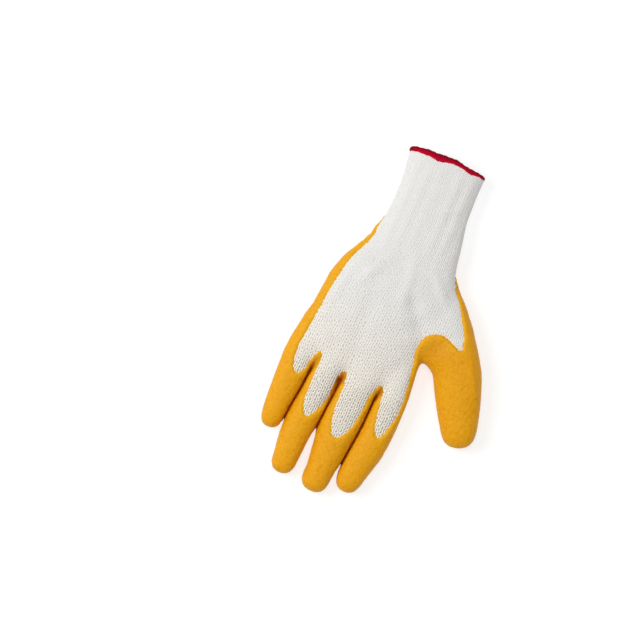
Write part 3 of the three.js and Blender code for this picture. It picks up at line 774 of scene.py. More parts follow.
# The pleats fade out over these ways before the wrist and at the edge.
PLEATS_TO_WRIST = 25.0
PLEATS_TO_EDGE = 10.0
# The cuff starts this far past the middle of the crimson edge. Its rows follow the edge up to
# one share of its length, and the wrist from another.
EDGE_OVER = 0.4
EDGE_ROWS = 0.4
WRIST_ROWS = 0.3
# Latex in the knit: the most along the hand, where it grows, what the coating's edge adds, and
# how far from it
STAIN_MOST = 0.9
STAIN_GROWS = (85.0, 175.0)
STAIN_EDGE = 0.3
STAIN_REACH = 5.0
# across, middle of the crimson edge along the hand, its width
EDGE_LINE = np.array([
    (-28.0, -0.6, 2.4),
    (-22.0, -1.7, 3.2),
    (-16.0, -1.2, 3.9),
    (-10.0, -2.4, 3.6),
    (-4.0, -3.1, 4.1),
    (2.0, -2.2, 5.3),
    (8.0, -1.2, 5.9),
    (14.0, -1.6, 5.2),
    (20.0, -1.3, 4.2),
    (25.0, -0.7, 4.2),
    (28.5, 1.8, 3.4),
])
edge_middle = flowing(EDGE_LINE[:, 0], EDGE_LINE[:, 1], 6.0)
edge_width = flowing(EDGE_LINE[:, 0], EDGE_LINE[:, 2], 6.0)


def cuff_grid(rows, columns):
    """Points on the cuff's oval sections, evenly spaced round each. The first row follows the
    crimson edge, and the last one the slanted line of the wrist."""
    share = np.linspace(0.0, 1.0, rows)[:, None]
    y = share * (CUFF_END + CUFF_TO) + np.zeros(len(TURNS))
    x, z = oval_section(y)
    y = y + (edge_middle(x) + EDGE_OVER) * (1.0 - smooth_step(share, 0.0, EDGE_ROWS))
    y = y + WRIST_SLANT * x * smooth_step(share, WRIST_ROWS, 1.0)
    x, z = oval_section(y)
    lengths = arc_lengths(x, z)
    even = np.arange(columns) / columns
    return np.array([np.stack([np.interp(even * run[-1], run, values) for values in row], axis=-1)
                     for run, row in zip(lengths, np.stack([x, y, z], axis=1))])


def stain_near(points):
    """How much latex has soaked into the knit: more and more along the hand, and a little close
    to the coating's edge."""
    edge = 1.0 - smooth_step(-coated(points), 0.0, STAIN_REACH)
    along = smooth_step(points[..., 1], *STAIN_GROWS)
    return np.clip(STAIN_MOST * along + STAIN_EDGE * edge, 0.0, 1.0)


def ribbed_cuff():
    """The cuff's wall: the outer face with ribs, loops, slow swells and pleats towards its edge,
    and a plain inner face."""
    columns = RIBS * RIB_POINTS
    outer = settle(cuff_grid(CUFF_ROWS * CUFF_RATIO + 1, columns), 0.0)
    x, y = outer[..., 0], outer[..., 1]
    wale = np.arange(columns) / RIB_POINTS + rippled(outer, "wale")
    relief = loop_relief(wale, y / COURSE + rippled(outer, "course"), rib_share(x, y))
    under = smooth_step(coated(outer), *CUFF_DIPS)
    wrist = past_wrist(x, y)
    height = (relief - MEAN_LOOP) * LOOP_HEIGHT - UNDER_LATEX * under
    sink = UNDER_HAND * smooth_step(wrist, 0.0, HAND_DIP)
    pleats = rippled(x[..., None], "pleats") * smooth_step(-wrist, 0.0, PLEATS_TO_WRIST)
    pleats *= smooth_step(y, 0.0, PLEATS_TO_EDGE)
    swell = (rippled(outer, "swells") + pleats) * (1.0 - under)
    outer = outer + (height - sink + swell)[..., None] * outward(outer)
    inner = settle(outer[::CUFF_RATIO, ::CUFF_RATIO], -CUFF_WALL, rounds=5)
    inner[..., 1] = outer[::CUFF_RATIO, ::CUFF_RATIO, 1]
    keep = np.ones((CUFF_ROWS, columns // CUFF_RATIO), bool)
    points, quads, rims = two_faced(outer, inner, keep, CUFF_RATIO, around=True)
    return make_piece("ribbed_cuff", points, quads.tolist() + rims.tolist(), "knit", ["rib_cuff"],
                      relief=then_plain(shaded_relief(relief, y), inner, 0.5),
                      stain=then_plain(stain_near(outer), inner))


cuff = ribbed_cuff()


# %% [markdown]
# The branching shape as a mesh
#
# The palm side, the sides and the fingers have no natural pair of directions, because the tubes
# branch. The distance rule is sampled in small boxes instead, which are narrower in the slots
# between the fingers. Every box that the surface crosses gives one point, every grid line that it
# crosses gives one quad between the four boxes round it, and then the points are settled on the
# exact surface and evened out. The result is closed everywhere, webs included.

# %% Net over a distance rule
NET_LOW = np.array([-97.0, -6.0, -3.0])
NET_HIGH = np.array([54.0, 245.0, 32.0])
LINE_STEP = 0.05
# Fine grid lines reach this far from a slot, and coarsen again over so many millimetres.
SLOT_REACH = 1.6
SLOT_FADE = 2.0
# Shares of a grid step that a point may settle by, and of the way to its neighbours' mean
SETTLE_SHARE = 0.6
EVEN_SHARE = 0.4


def even_out(points, quads, share):
    """Moves each point towards the mean of the points that share an edge with it."""
    heads = quads.ravel()
    tails = np.roll(quads, -1, axis=1).ravel()
    both, other = np.concatenate([heads, tails]), np.concatenate([tails, heads])
    count = np.maximum(np.bincount(both, minlength=len(points)), 1)
    mean = np.stack([np.bincount(both, points[other, axis], len(points)) for axis in range(3)], axis=1)
    return points + share * (mean / count[:, None] - points)


def closer_lines(low, high, step, fine=None, places=()):
    """Grid lines one step apart, and a fine step apart within reach of some places."""
    dense = np.arange(low, high, LINE_STEP)
    local = np.full(dense.shape, step)
    if fine:
        near = np.abs(dense[:, None] - np.array(places)).min(axis=1)
        local = np.interp(near, [SLOT_REACH, SLOT_REACH + SLOT_FADE], [fine, step])
    count = np.cumsum(LINE_STEP / local)
    return np.interp(np.arange(1.0, count[-1]), count, dense)


def net_over(level, step, fine=None, places=()):
    """The closed surface where the distance equals a level, as points and quads."""
    axes = [closer_lines(low, high, step) for low, high in zip(NET_LOW, NET_HIGH)]
    axes[0] = closer_lines(NET_LOW[0], NET_HIGH[0], step, fine, places)
    corners = np.stack(np.meshgrid(*axes, indexing="ij"), axis=-1)
    inside = np.concatenate([glove_distance(slab[None]) < level for slab in corners])
    inside[0] = inside[-1] = False
    inside[:, 0] = inside[:, -1] = False
    inside[:, :, 0] = inside[:, :, -1] = False
    count = np.zeros(np.array(inside.shape) - 1, np.int8)
    for i in (0, 1):
        for j in (0, 1):
            for k in (0, 1):
                count += inside[i:i - 1 or None, j:j - 1 or None, k:k - 1 or None]
    crossed = (count > 0) & (count < 8)
    number = np.full(crossed.shape, -1)
    number[crossed] = np.arange(crossed.sum())
    middles = [(line[:-1] + line[1:]) / 2.0 for line in axes]
    points = np.stack([line[at] for line, at in zip(middles, np.nonzero(crossed))], axis=1)
    quads = []
    for axis in range(3):
        here = np.moveaxis(inside, axis, 0)
        cell = np.moveaxis(number, axis, 0)
        before, after = here[:-1, 1:-1, 1:-1], here[1:, 1:-1, 1:-1]
        i, j, k = np.nonzero(before != after)
        corners_round = cell[i, j, k], cell[i, j + 1, k], cell[i, j + 1, k + 1], cell[i, j, k + 1]
        quad = np.stack(corners_round, axis=1)
        turned = ~before[i, j, k] ^ (axis == 1)
        quad[turned] = quad[turned, ::-1]
        quads.append(quad)
    quads = np.concatenate(quads)
    reach = SETTLE_SHARE * step
    for _ in range(4):
        points = even_out(settle(points, level, rounds=2, reach=reach), quads, EVEN_SHARE)
    return settle(points, level, rounds=3, reach=reach), quads


def closed_wall(outer, inner, quads, offset=0):
    """Joins an open sheet and its inner face, of the same points, by quads along the open edges.
    An open edge is one that no neighbour runs along the other way."""
    size = len(outer)
    heads, tails = quads.ravel(), np.roll(quads, -1, axis=1).ravel()
    open_edge = ~np.isin(heads * size + tails, tails * size + heads)
    heads, tails = heads[open_edge], tails[open_edge]
    rim = np.stack([tails, heads, heads + size, tails + size], axis=1)
    faces = np.concatenate([quads, quads[:, ::-1] + size, rim]) + offset
    return np.concatenate([outer, inner]), faces


# %% [markdown]
# The latex
#
# The coating is a skin about a millimetre thick, bonded to the knit. It is thickest over the
# palm and thins out to nothing at its edge, where it sinks between the stitches. Its surface
# was crinkled while it set, so small worm-like ridges cover it. The broad ridges are raised in
# the mesh, and the finest ones are left to the material.

# %% Latex skin
LATEX_STEP = 1.06
SLOT_STEP = 0.34
SLOTS = (-19.2, -17.2, 7.5, 29.2)
LATEX_WALL = 0.7
# The skin tapers over this way across the coating's line, and ends past it, sunk into the knit.
TAPER = (-1.3, 1.5)
SKIN_ENDS = -2.6
EDGE_SINK = 0.75
# Worm-like ridges: height, length, seed, waves, and how narrow they are
CRINKLE = 0.13
WORM_RIPPLE = (4.0, 21, 24)
WORM_NARROW = 2.2
# Ribs of the liner that show through the skin near the wrist: height, pitch, highest place
RIB_PRINT = 0.28
RIB_PRINT_PITCH = 2.5
RIB_PRINT_TOP = 20.0
# They fade out across the coating's line and along the hand.
RIB_PRINT_INSIDE = (2.0, 20.0)
RIB_PRINT_ALONG = (60.0, 82.0)
# How far inside the line the worms are whole, and the skin is no longer thin
WORMS_WHOLE = 3.0
THIN_REACH = 5.0
# A slot's painted shade: gap at which it is full, gap at which it ends, and how much more by the crotch
SLOT_FULL = 0.2
SLOT_WIDE = 2.6
CROTCH_WIDER = 3.0
# Painted shade in the middle of the thumb's web
WEB_SHADE = 0.2
FLOOR_CLEAR = 0.02


def between_fingers(points):
    """Painted shade: 1 where the next finger lies close, as down in a slot, and 0 from a finger's gap
    onwards: by the second smallest of the fingers' distances. The thumb's web gets a little too."""
    x, y, z = points[:, 0], points[:, 1], points[:, 2]
    gaps = np.sort([finger_distance(name, x, y, z) for name in FINGERS], axis=0)[1] - COAT
    wide = SLOT_WIDE + CROTCH_WIDER * (1.0 - smooth_step(y, CROTCH, CROTCH + 14.0))
    slots = (1.0 - smooth_step(gaps, SLOT_FULL, wide)) * smooth_step(y, CROTCH - 8.0, CROTCH + 6.0)
    web_x, web_y, reach = THUMB_WEB
    return slots + WEB_SHADE * np.exp(-((x - web_x) ** 2 + (y - web_y) ** 2) / reach**2)


def latex_skin():
    """The skin's outer face stands on the knit by the coating's thickness, tapering below the
    knit's face outside the line, and its inner face lies a wall under it. The ridges are 1 less
    the size of a ripple, so they run where it changes sign."""
    points, quads = net_over(COAT, LATEX_STEP, SLOT_STEP, SLOTS)
    inside = coated(points)
    near = inside > SKIN_ENDS
    used, quads = used_points(len(points), quads[near[quads].all(axis=1)])
    points, inside = points[used], inside[used]
    normal = outward(points)
    thick = -EDGE_SINK + (COAT + EDGE_SINK) * smooth_step(inside, *TAPER)
    worms = 1.0 - WORM_NARROW * np.abs(ripple(points, *WORM_RIPPLE))
    printed = np.cos(2.0 * np.pi * points[:, 0] / RIB_PRINT_PITCH)
    printed *= 1.0 - smooth_step(inside, *RIB_PRINT_INSIDE)
    printed *= smooth_step(-points[:, 1], -RIB_PRINT_ALONG[1], -RIB_PRINT_ALONG[0])
    rough = CRINKLE * worms + RIB_PRINT * printed * (points[:, 2] < RIB_PRINT_TOP)
    level = thick - COAT + rough * smooth_step(inside, 0.0, WORMS_WHOLE)
    outer = points + level[:, None] * normal
    outer[:, 2] = np.maximum(outer[:, 2], FLOOR_CLEAR)
    inner = points + (thick - COAT - LATEX_WALL)[:, None] * normal
    wall, faces = closed_wall(outer, inner, quads)
    nodes = [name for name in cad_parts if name.startswith("latex")]
    # The relief paints shade into the creases, and the mask between the fingers paints shade into the
    # slots and the thumb's web.
    return make_piece("latex_coating", wall, faces.tolist(), "latex", nodes,
                      relief=then_plain(worms, inner),
                      crevice=then_plain(between_fingers(points), inner),
                      thin=then_plain(1.0 - smooth_step(inside, 0.0, THIN_REACH), inner))


latex = latex_skin()

# %% [markdown]
# The knitted hand
#
# The liner is one knit from wrist to fingertips, but only its back shows. The stitched back is
# laid as a fine grid over the hand, seen from above, and settled on the distance rule, because
# the wales of a machine knit run straight up the hand. The rest of the liner, which shows only
# through the cuff, is a coarse wall from the net.

# %% Knitted hand
GRID = 0.36
BACK_RATIO = 5
BACK_WALL = 0.75
# How far the back goes on under the latex, and how near it has to come to the distance rule
BACK_MARGIN = 2.4
NEAR_ENOUGH = 0.3
# How deep the back sinks under the latex and where it starts on the cuff, and over which ways
BACK_SINK = 0.4
BACK_DIPS = (0.2, 2.2)
BACK_STARTS = (-0.8, 0.4)
BACK_FROM = -1.0
BACK_ACROSS = (-66.0, 46.0)
BACK_ALONG = (58.0, 206.0)
# The loops stand higher on the fingers by this share.
FINGER_LOOPS = 0.9
# The height of the back is found from above everything, in this many drops.
ABOVE_ALL = 31.0
DROPS = 30
# The steepest slope across that the count of wales follows, on the palm and on the fingers
PALM_STEEPEST = 2.5
FINGER_STEEPEST = 0.2
# The rest of the liner: how far it reaches back into the cuff, its level under the knit's face,
# which is its wall too, and its grid
LINER_BACK = 6.0
LINER_DEPTH = 0.8
LINER_STEP = 2.1


def height_above(x, y):
    """Height of the knit's face straight over each place: steps down by the distance until the
    surface is met."""
    z = np.full(x.shape, ABOVE_ALL)
    for _ in range(DROPS):
        z = z - np.clip(glove_distance(np.stack([x, y, z], axis=-1)), -1.0, 2.0)
        z = np.maximum(z, -2.0)
    return z


def whole_cells(low, high):
    """Places one grid step apart, as many as fill the coarse cells."""
    places = np.arange(low, high, GRID)
    return places[: (len(places) - 1) // BACK_RATIO * BACK_RATIO + 1]


def arc_along(z, axis, steepest):
    """Length along the surface in one direction of a height grid, its slope kept to limits."""
    slope = np.clip(np.gradient(z, GRID, axis=axis), -steepest, steepest)
    return np.cumsum(np.hypot(1.0, slope), axis=axis) * GRID


def wales_and_courses(xs, ys, z):
    """Wale and course numbers over the back, by the arc lengths across from the hand's middle
    and along from the wrist, where they continue the cuff's."""
    x, y = np.meshgrid(xs, ys)
    thumbward, littleward, _ = (line(ys) for line in body_lines)
    middle = np.searchsorted(xs, (thumbward + littleward) / 2.0)[:, None]
    flatter = smooth_step(ys, 120.0, CROTCH - 5.0)[:, None]
    steepest = PALM_STEEPEST - (PALM_STEEPEST - FINGER_STEEPEST) * flatter
    across = arc_along(z, 1, steepest)
    across = across - np.take_along_axis(across, middle, axis=1)
    climb = arc_along(z, 0, 1.0)
    join = np.searchsorted(ys, CUFF_END + WRIST_SLANT * xs)[None]
    climb = climb - np.take_along_axis(climb - y, join, axis=0)
    return top_wale(y) + across / wale_pitch(y), climb / COURSE


def stitched_back():
    """The open part of the back and a margin under the coating, as a fine grid and its wall."""
    xs, ys = whole_cells(*BACK_ACROSS), whole_cells(*BACK_ALONG)
    x, y = np.meshgrid(xs, ys)
    z = height_above(x, y)
    surface = np.stack([x, y, z], axis=-1)
    met = np.abs(glove_distance(surface)) <= NEAR_ENOUGH
    inside = coated(surface)
    wrist = past_wrist(x, y)
    wanted = (inside < BACK_MARGIN) & (wrist > BACK_FROM) & met
    cells = wanted[:-1, :-1] & wanted[1:, 1:] & wanted[:-1, 1:] & wanted[1:, :-1]
    shape = len(ys) // BACK_RATIO, BACK_RATIO, len(xs) // BACK_RATIO, BACK_RATIO
    keep = cells.reshape(shape).all(axis=(1, 3))
    wale, course = wales_and_courses(xs, ys, z)
    wale, course = wale + rippled(surface, "wale"), course + rippled(surface, "course")
    relief = loop_relief(wale, course, rib_share(x, y))
    normal = outward(surface)
    under = smooth_step(inside, *BACK_DIPS)
    start = 1.0 - smooth_step(wrist, *BACK_STARTS)
    height = (relief - MEAN_LOOP) * LOOP_HEIGHT * (1.0 + FINGER_LOOPS * stretched(y))
    height += rippled(surface, "swells") - BACK_SINK * under - BACK_SINK * start
    outer = surface + height[..., None] * normal
    inner = (surface - BACK_WALL * normal)[::BACK_RATIO, ::BACK_RATIO]
    points, quads, rims = two_faced(outer, inner, keep, BACK_RATIO)
    used, quads, rims = used_points(len(points), quads, rims)
    depth = then_plain(shaded_relief(relief, y), inner, 0.5)
    stain = then_plain(stain_near(surface), inner)
    return points[used], quads, rims, depth[used], stain[used]


def plain_liner(offset):
    """The rest of the liner: a coarse wall, open at the wrist."""
    points, quads = net_over(-LINER_DEPTH, LINER_STEP)
    open_line = CUFF_END - LINER_BACK + WRIST_SLANT * points[:, 0]
    near = points[:, 1] > open_line
    used, quads = used_points(len(points), quads[near[quads].all(axis=1)])
    points = points[used]
    return closed_wall(points, points - LINER_DEPTH * outward(points), quads, offset)


def knitted_hand():
    """The stitched back and the plain rest of the liner, as one piece."""
    points, quads, rims, depth, stain = stitched_back()
    liner, faces = plain_liner(len(points))
    nodes = [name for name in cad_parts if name.startswith("knit")]
    return make_piece("knitted_hand", np.concatenate([points, liner]),
                      quads.tolist() + faces.tolist() + rims.tolist(), "knit", nodes,
                      relief=then_plain(depth, liner, 0.5), stain=then_plain(stain, liner))


hand = knitted_hand()

# %% [markdown]
# The overlocked edge
#
# The raw end of the cuff is wrapped with a crimson yarn by an overlock machine. It wraps the
# edge some hundred times, each turn a little slanted, and the elastic edge makes the line
# wander and swell. A ring of oval section carried round the cuff has this shape, with the wraps
# raised by a formula of the way round and the turn about the section.

# %% Overlocked edge
EDGE_DEEP = 3.4
WRAPS = 96
WRAP_POINTS = 8
ABOUT_POINTS = 28
# The ring is centred this far inside the oval of the cuff.
EDGE_INSET = 0.9
# Unevenness of the ring's width: size, times round the cuff, phase
UNEVEN = ((0.3, 11.0, 0.0), (0.25, 29.0, 1.0))
# Shares of the radius that the wraps and the strands of the yarn take
WRAP_DEEP = 0.2
STRAND_DEEP = 0.03
# How far a wrap slants about the section, and how full its crest is: under 1 is fuller
WRAP_SLANT = 0.9
WRAP_FULLNESS = 0.6
EDGE_CLEAR = 0.05
# Painted shade on the far side of the ring and on its two ends, which turn away from the light
FAR_SHADE = 0.75
END_SHADE = 0.6
ENDS_TURN = (20.0, 27.0)


def overlocked_edge():
    """A closed ring: rows go round the cuff, columns about its section. Radius follows the wraps:
    a rectified cosine with a slanted phase, and the section follows the edge's own line."""
    round_count = WRAPS * WRAP_POINTS
    x, z = oval_section(np.zeros((1, len(TURNS))), -EDGE_INSET)
    x, z = oval_section(edge_middle(x), -EDGE_INSET)
    lengths = arc_lengths(x, z)[0]
    even = np.arange(round_count) / round_count
    base_x, base_z = (np.interp(even * lengths[-1], lengths, values[0]) for values in (x, z))
    base = np.stack([base_x, edge_middle(base_x), base_z], axis=1)
    turn = 2.0 * np.pi * np.arange(ABOUT_POINTS) / ABOUT_POINTS
    after = np.roll(base, -1, axis=0) - np.roll(base, 1, axis=0)
    side = np.stack([-after[:, 2], np.zeros(round_count), after[:, 0]], axis=1)
    side /= np.linalg.norm(side, axis=1, keepdims=True)
    along = 2.0 * np.pi * even
    uneven = sum(size * np.sin(times * along + start) for size, times, start in UNEVEN)
    phase = WRAPS * even[:, None] + WRAP_SLANT * np.sin(turn + 0.7)
    wrap = np.abs(np.cos(np.pi * phase)) ** WRAP_FULLNESS
    radius = 1.0 - WRAP_DEEP + WRAP_DEEP * wrap + STRAND_DEEP * np.sin(3.0 * np.pi * phase)
    width = edge_width(base_x)
    deep = np.minimum(EDGE_DEEP, 0.5 + 0.75 * width)[:, None] / 2.0 * radius * np.cos(turn)
    points = base[:, None] + deep[..., None] * side[:, None]
    points[..., 1] += (width + uneven)[:, None] / 2.0 * radius * np.sin(turn)
    points[..., 2] = np.maximum(points[..., 2], EDGE_CLEAR)
    number = np.arange(points[..., 0].size).reshape(points.shape[:2])
    ahead, next_turn = np.roll(number, -1, axis=0), np.roll(number, -1, axis=1)
    corner = np.roll(ahead, -1, axis=1)
    quads = np.stack([number, ahead, corner, next_turn], axis=-1).reshape(-1, 4)
    # The relief paints shade between the wraps, on the far side and on the ends.
    far_side = 0.5 - 0.5 * np.sin(turn)
    ends = smooth_step(np.abs(base_x), *ENDS_TURN)[:, None]
    return make_piece("overlocked_edge", points.reshape(-1, 3), quads.tolist(), "overlock", ["cuff_hem"],
                      relief=(wrap - FAR_SHADE * far_side * (1.0 - ends) - END_SHADE * ends).ravel())


edge = overlocked_edge()


# %% [markdown]
# Materials
#
# Three finishes show: matt white cotton, satin amber latex and crimson yarn. The two yarns share
# an effect, the fuzz of spun fibre, and all three share another, painted shade down in the
# furrows with a soft random mottling, so both are node groups with inputs of their own. The
# shader itself stays in each material.

# %% Shared effects
def group_with(name, inputs, outputs):
    """An empty node group with named sockets, and its input and output nodes."""
    group = bpy.data.node_groups.new(name, "ShaderNodeTree")
    for title, kind, value in inputs:
        socket = group.interface.new_socket(title, in_out="INPUT", socket_type=kind)
        socket.default_value = value
    for title, kind in outputs:
        group.interface.new_socket(title, in_out="OUTPUT", socket_type=kind)
    return group, group.nodes.new("NodeGroupInput"), group.nodes.new("NodeGroupOutput")


def wired(tree, kind, sockets, **settings):
    """A new node with its own settings. Sockets give an input a value or the output that feeds
    it."""
    node = tree.nodes.new(kind)
    for title, value in settings.items():
        setattr(node, title, value)
    for title, value in sockets.items():
        if isinstance(value, bpy.types.NodeSocket):
            tree.links.new(value, node.inputs[title])
        else:
            node.inputs[title].default_value = value
    return node


def noise_on_piece(tree, sockets):
    """Noise in the piece's own coordinates."""
    place = wired(tree, "ShaderNodeTexCoord", {})
    return wired(tree, "ShaderNodeTexNoise", {"Vector": place.outputs["Object"], **sockets})


def furrow_tint():
    """Colour from a ridge's down to a furrow's painted shade, by the relief attribute, and a soft random
    mottling.
    """
    group, given, result = group_with(
        "furrow_tint",
        [("Ridge", "NodeSocketColor", (1, 1, 1, 1)), ("Furrow", "NodeSocketColor", (0, 0, 0, 1)),
         ("Low", "NodeSocketFloat", 0.0), ("High", "NodeSocketFloat", 1.0),
         ("Mottle", "NodeSocketFloat", 0.1), ("Mottle Scale", "NodeSocketFloat", 60.0)],
        [("Color", "NodeSocketColor")])
    inputs = given.outputs
    relief = wired(group, "ShaderNodeAttribute", {}, attribute_name="relief")
    cloud = noise_on_piece(group, {"Scale": inputs["Mottle Scale"], "Detail": 3.0})
    level = wired(group, "ShaderNodeMapRange", {
        "Value": relief.outputs["Fac"], "From Min": inputs["Low"], "From Max": inputs["High"]})
    centred = wired(group, "ShaderNodeMath", {0: cloud.outputs["Fac"], 1: 0.5}, operation="SUBTRACT")
    shift = wired(group, "ShaderNodeMath", {
        0: centred.outputs[0], 1: inputs["Mottle"], 2: level.outputs["Result"]}, operation="MULTIPLY_ADD")
    mix = wired(group, "ShaderNodeMix", {
        "Factor": shift.outputs[0], 6: inputs["Furrow"], 7: inputs["Ridge"]}, data_type="RGBA")
    group.links.new(mix.outputs[2], result.inputs["Color"])
    return group


def spun_fibre():
    """A bump normal of fine, uneven fibre: noise of several sizes, each finer one weaker."""
    group, given, result = group_with(
        "spun_fibre",
        [("Scale", "NodeSocketFloat", 900.0), ("Strength", "NodeSocketFloat", 0.5),
         ("Distance", "NodeSocketFloat", 0.0002)],
        [("Normal", "NodeSocketVector")])
    inputs = given.outputs
    noise = noise_on_piece(group, {"Scale": inputs["Scale"], "Detail": 4.0, "Roughness": 0.65})
    bump = wired(group, "ShaderNodeBump", {
        "Height": noise.outputs["Fac"], "Strength": inputs["Strength"], "Distance": inputs["Distance"]})
    group.links.new(bump.outputs["Normal"], result.inputs["Normal"])
    return group


SHADE_AND_MOTTLE = furrow_tint()
FIBRE = spun_fibre()
print("shared effects:", SHADE_AND_MOTTLE.name, "and", FIBRE.name)


# %% [markdown]
# Finishes
#
# Spun cotton scatters light evenly, so the yarns are rough and hardly shine. The latex is set
# with a satin gloss that its creases break up. It soaked the knit along its edge and on the
# fingers, where the yarn is warmer in colour. Shade in the furrows of all three is painted into
# their colours. In the slots between the fingers and in the thumb's web the latex lies in its own
# shade, which is painted as deep red-brown. One material could be painted for each area, but the
# areas run into each other, so attributes of the meshes blend the colours.

# %% Finishes
# finish: colours of its ridges and of its furrows, whose darker colour is painted shade
COLOURS = {
    "cotton": ((0.785, 0.775, 0.755, 1), (0.56, 0.545, 0.52, 1)),
    "soaked cotton": ((0.87, 0.82, 0.73, 1), (0.42, 0.38, 0.31, 1)),
    "crimson": ((0.60, 0.002, 0.026, 1), (0.17, 0.0005, 0.008, 1)),
    "latex": ((0.80, 0.365, 0.004, 1), (0.72, 0.285, 0.002, 1)),
    "thin latex": ((0.80, 0.395, 0.006, 1), (0.73, 0.31, 0.003, 1)),
    # Painted shade of the latex down in the slots and in the thumb's web
    "slot shade latex": ((0.27, 0.020, 0.0005, 1), (0.20, 0.012, 0.0003, 1)),
}
YARN_SHADE_AND_MOTTLE = {"Low": 0.0, "High": 0.7, "Mottle Scale": 140.0}
YARN_FIBRE = {"Scale": 1400.0, "Strength": 0.5, "Distance": 0.0003}
LATEX_SHADE_AND_MOTTLE = {"Low": -4.0, "High": 0.9, "Mottle": 2.2, "Mottle Scale": 600.0}


def finish_of(name, **sockets):
    """A new material and its Principled shader, with the shader's sockets set by their names,
    underscores for spaces."""
    material = bpy.data.materials.new(name)
    material.use_nodes = True
    shader = material.node_tree.nodes["Principled BSDF"]
    for title, value in sockets.items():
        shader.inputs[title.replace("_", " ")].default_value = value
    return material, shader


def with_furrow_shade(tree, finish, tint):
    """The colour with painted shade in the furrows, and mottling, for one finish."""
    ridge, furrow = COLOURS[finish]
    return wired(tree, "ShaderNodeGroup", {"Ridge": ridge, "Furrow": furrow, **tint},
                 node_tree=SHADE_AND_MOTTLE).outputs["Color"]


def blend_by(tree, title, plain, changed):
    """Mixes two colours by an attribute of the mesh, from the one at 0 to the other at 1."""
    values = wired(tree, "ShaderNodeAttribute", {}, attribute_name=title)
    level = wired(tree, "ShaderNodeMapRange", {"Value": values.outputs["Fac"]})
    return wired(tree, "ShaderNodeMix", {"Factor": level.outputs["Result"], 6: plain, 7: changed},
                 data_type="RGBA").outputs[2]


def yarn(name, finish, mottle, soaked=None):
    """Matt spun yarn: painted shade in the furrows and a fibrous bump. Where latex has soaked in,
    the colours go over to a second, warmer pair."""
    material, shader = finish_of(name, Roughness=0.95, Specular_IOR_Level=0.08)
    tree = material.node_tree
    tint = {"Mottle": mottle, **YARN_SHADE_AND_MOTTLE}
    colour = with_furrow_shade(tree, finish, tint)
    if soaked:
        colour = blend_by(tree, "stain", colour, with_furrow_shade(tree, soaked, tint))
    fibre = wired(tree, "ShaderNodeGroup", YARN_FIBRE, node_tree=FIBRE)
    tree.links.new(colour, shader.inputs["Base Color"])
    tree.links.new(fibre.outputs["Normal"], shader.inputs["Normal"])
    return material


def crinkled_latex():
    """Satin latex: amber with painted shade in its creases and deep red-brown painted shade in the
    slots, yellower where it thins out over the white knit, with worm-like creases as bump."""
    material, shader = finish_of("amber_latex", Roughness=0.48, Specular_IOR_Level=0.16)
    tree = material.node_tree
    thick, thin, deep = (with_furrow_shade(tree, name, LATEX_SHADE_AND_MOTTLE) for name in ("latex", "thin latex", "slot shade latex"))
    # Painted shade: the creases by the relief, the slots and the thumb's web by the mask between the
    # fingers
    colour = blend_by(tree, "crevice", blend_by(tree, "thin", thick, thin), deep)
    worms = noise_on_piece(tree, {"Scale": 420.0, "Detail": 2.5, "Distortion": 1.2})
    bump = wired(tree, "ShaderNodeBump", {
        "Height": worms.outputs["Fac"], "Strength": 0.7, "Distance": 0.0007})
    tree.links.new(bump.outputs["Normal"], shader.inputs["Normal"])
    tree.links.new(colour, shader.inputs["Base Color"])
    return material


white_knit = yarn("white_knit", "cotton", 0.12, "soaked cotton")
crimson_yarn = yarn("crimson_yarn", "crimson", 0.25)
amber_latex = crinkled_latex()
finishes = ((cuff, white_knit), (hand, white_knit), (edge, crimson_yarn), (latex, amber_latex))
for piece, material in finishes:
    piece.data.materials.append(material)
    print(piece.name, "is finished in", material.name)

# %% [markdown]
# The studio
#
# The glove was photographed from straight above on white. A long lens keeps the fingers' sizes
# true. The floor is a light table: white, and glowing a little, so that it stays white and the
# shadows stay faint. A bright world gives the even light, and one large soft light from the
# picture's left models the folds.

# %% Camera, floor and light
VIEW_WIDTH = 0.425
CAMERA_HEIGHT = 1.6
LOOK_AT = np.array([42.8, 128.8, 8.0])
CAMERA_RIGHT = np.array([-0.9135, -0.4067])
SENSOR = 36.0
FLOOR_SIDE = 3.0
FLOOR_GREY = 0.42
FLOOR_GLOW = 0.64
WORLD_GLOW = 0.36
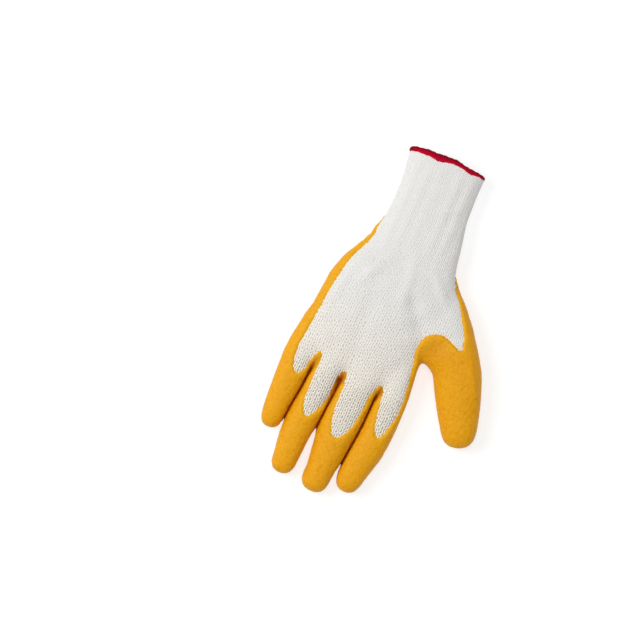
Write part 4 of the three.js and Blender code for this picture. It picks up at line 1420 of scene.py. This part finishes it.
# name: place in metres, side, power
LIGHTS = {
    "key": ((1.05, 0.00, 1.15), 0.8, 12.0),
    "top": ((0.1, -0.2, 2.0), 0.9, 13.0),
}


def light_table():
    """The white floor: a square that glows a little."""
    corners = [(x * FLOOR_SIDE, y * FLOOR_SIDE, 0) for x, y in ((-1, -1), (1, -1), (1, 1), (-1, 1))]
    mesh = bpy.data.meshes.new("floor")
    mesh.from_pydata(corners, [], [(0, 1, 2, 3)])
    floor = bpy.data.objects.new("floor", mesh)
    bpy.context.scene.collection.objects.link(floor)
    paint, _ = finish_of("pale_floor", Roughness=0.9, Specular_IOR_Level=0.0,
                         Base_Color=(FLOOR_GREY, FLOOR_GREY, FLOOR_GREY, 1),
                         Emission_Color=(1, 1, 1, 1), Emission_Strength=FLOOR_GLOW)
    mesh.materials.append(paint)


def camera_above():
    """The camera above the glove, turned as in the photograph."""
    camera = bpy.data.objects.new("camera", bpy.data.cameras.new("camera"))
    bpy.context.scene.collection.objects.link(camera)
    camera.data.sensor_width = SENSOR
    camera.data.lens = SENSOR * (CAMERA_HEIGHT - LOOK_AT[2] * MM) / VIEW_WIDTH
    spot = (LOOK_AT + ORIGIN) * MM
    camera.location = (spot[0], spot[1], CAMERA_HEIGHT)
    camera.rotation_euler = (0.0, 0.0, float(np.arctan2(CAMERA_RIGHT[1], CAMERA_RIGHT[0])))
    bpy.context.scene.camera = camera


def soft_lights():
    """Square lights that face the glove, and a bright white world."""
    for name, (place, side, power) in LIGHTS.items():
        light = bpy.data.objects.new(name, bpy.data.lights.new(name, "AREA"))
        light.data.size = side
        light.data.energy = power
        light.location = place
        light.rotation_euler = (float(np.arctan2(np.hypot(place[0], place[1]), place[2])), 0.0,
                                float(np.arctan2(place[1], place[0]) + np.pi / 2))
        bpy.context.scene.collection.objects.link(light)
    world = bpy.data.worlds.new("studio")
    world.use_nodes = True
    sky = world.node_tree.nodes["Background"]
    sky.inputs["Color"].default_value = (1, 1, 1, 1)
    sky.inputs["Strength"].default_value = WORLD_GLOW
    bpy.context.scene.world = world
    bpy.context.scene.view_settings.view_transform = "Standard"


light_table()
camera_above()
soft_lights()
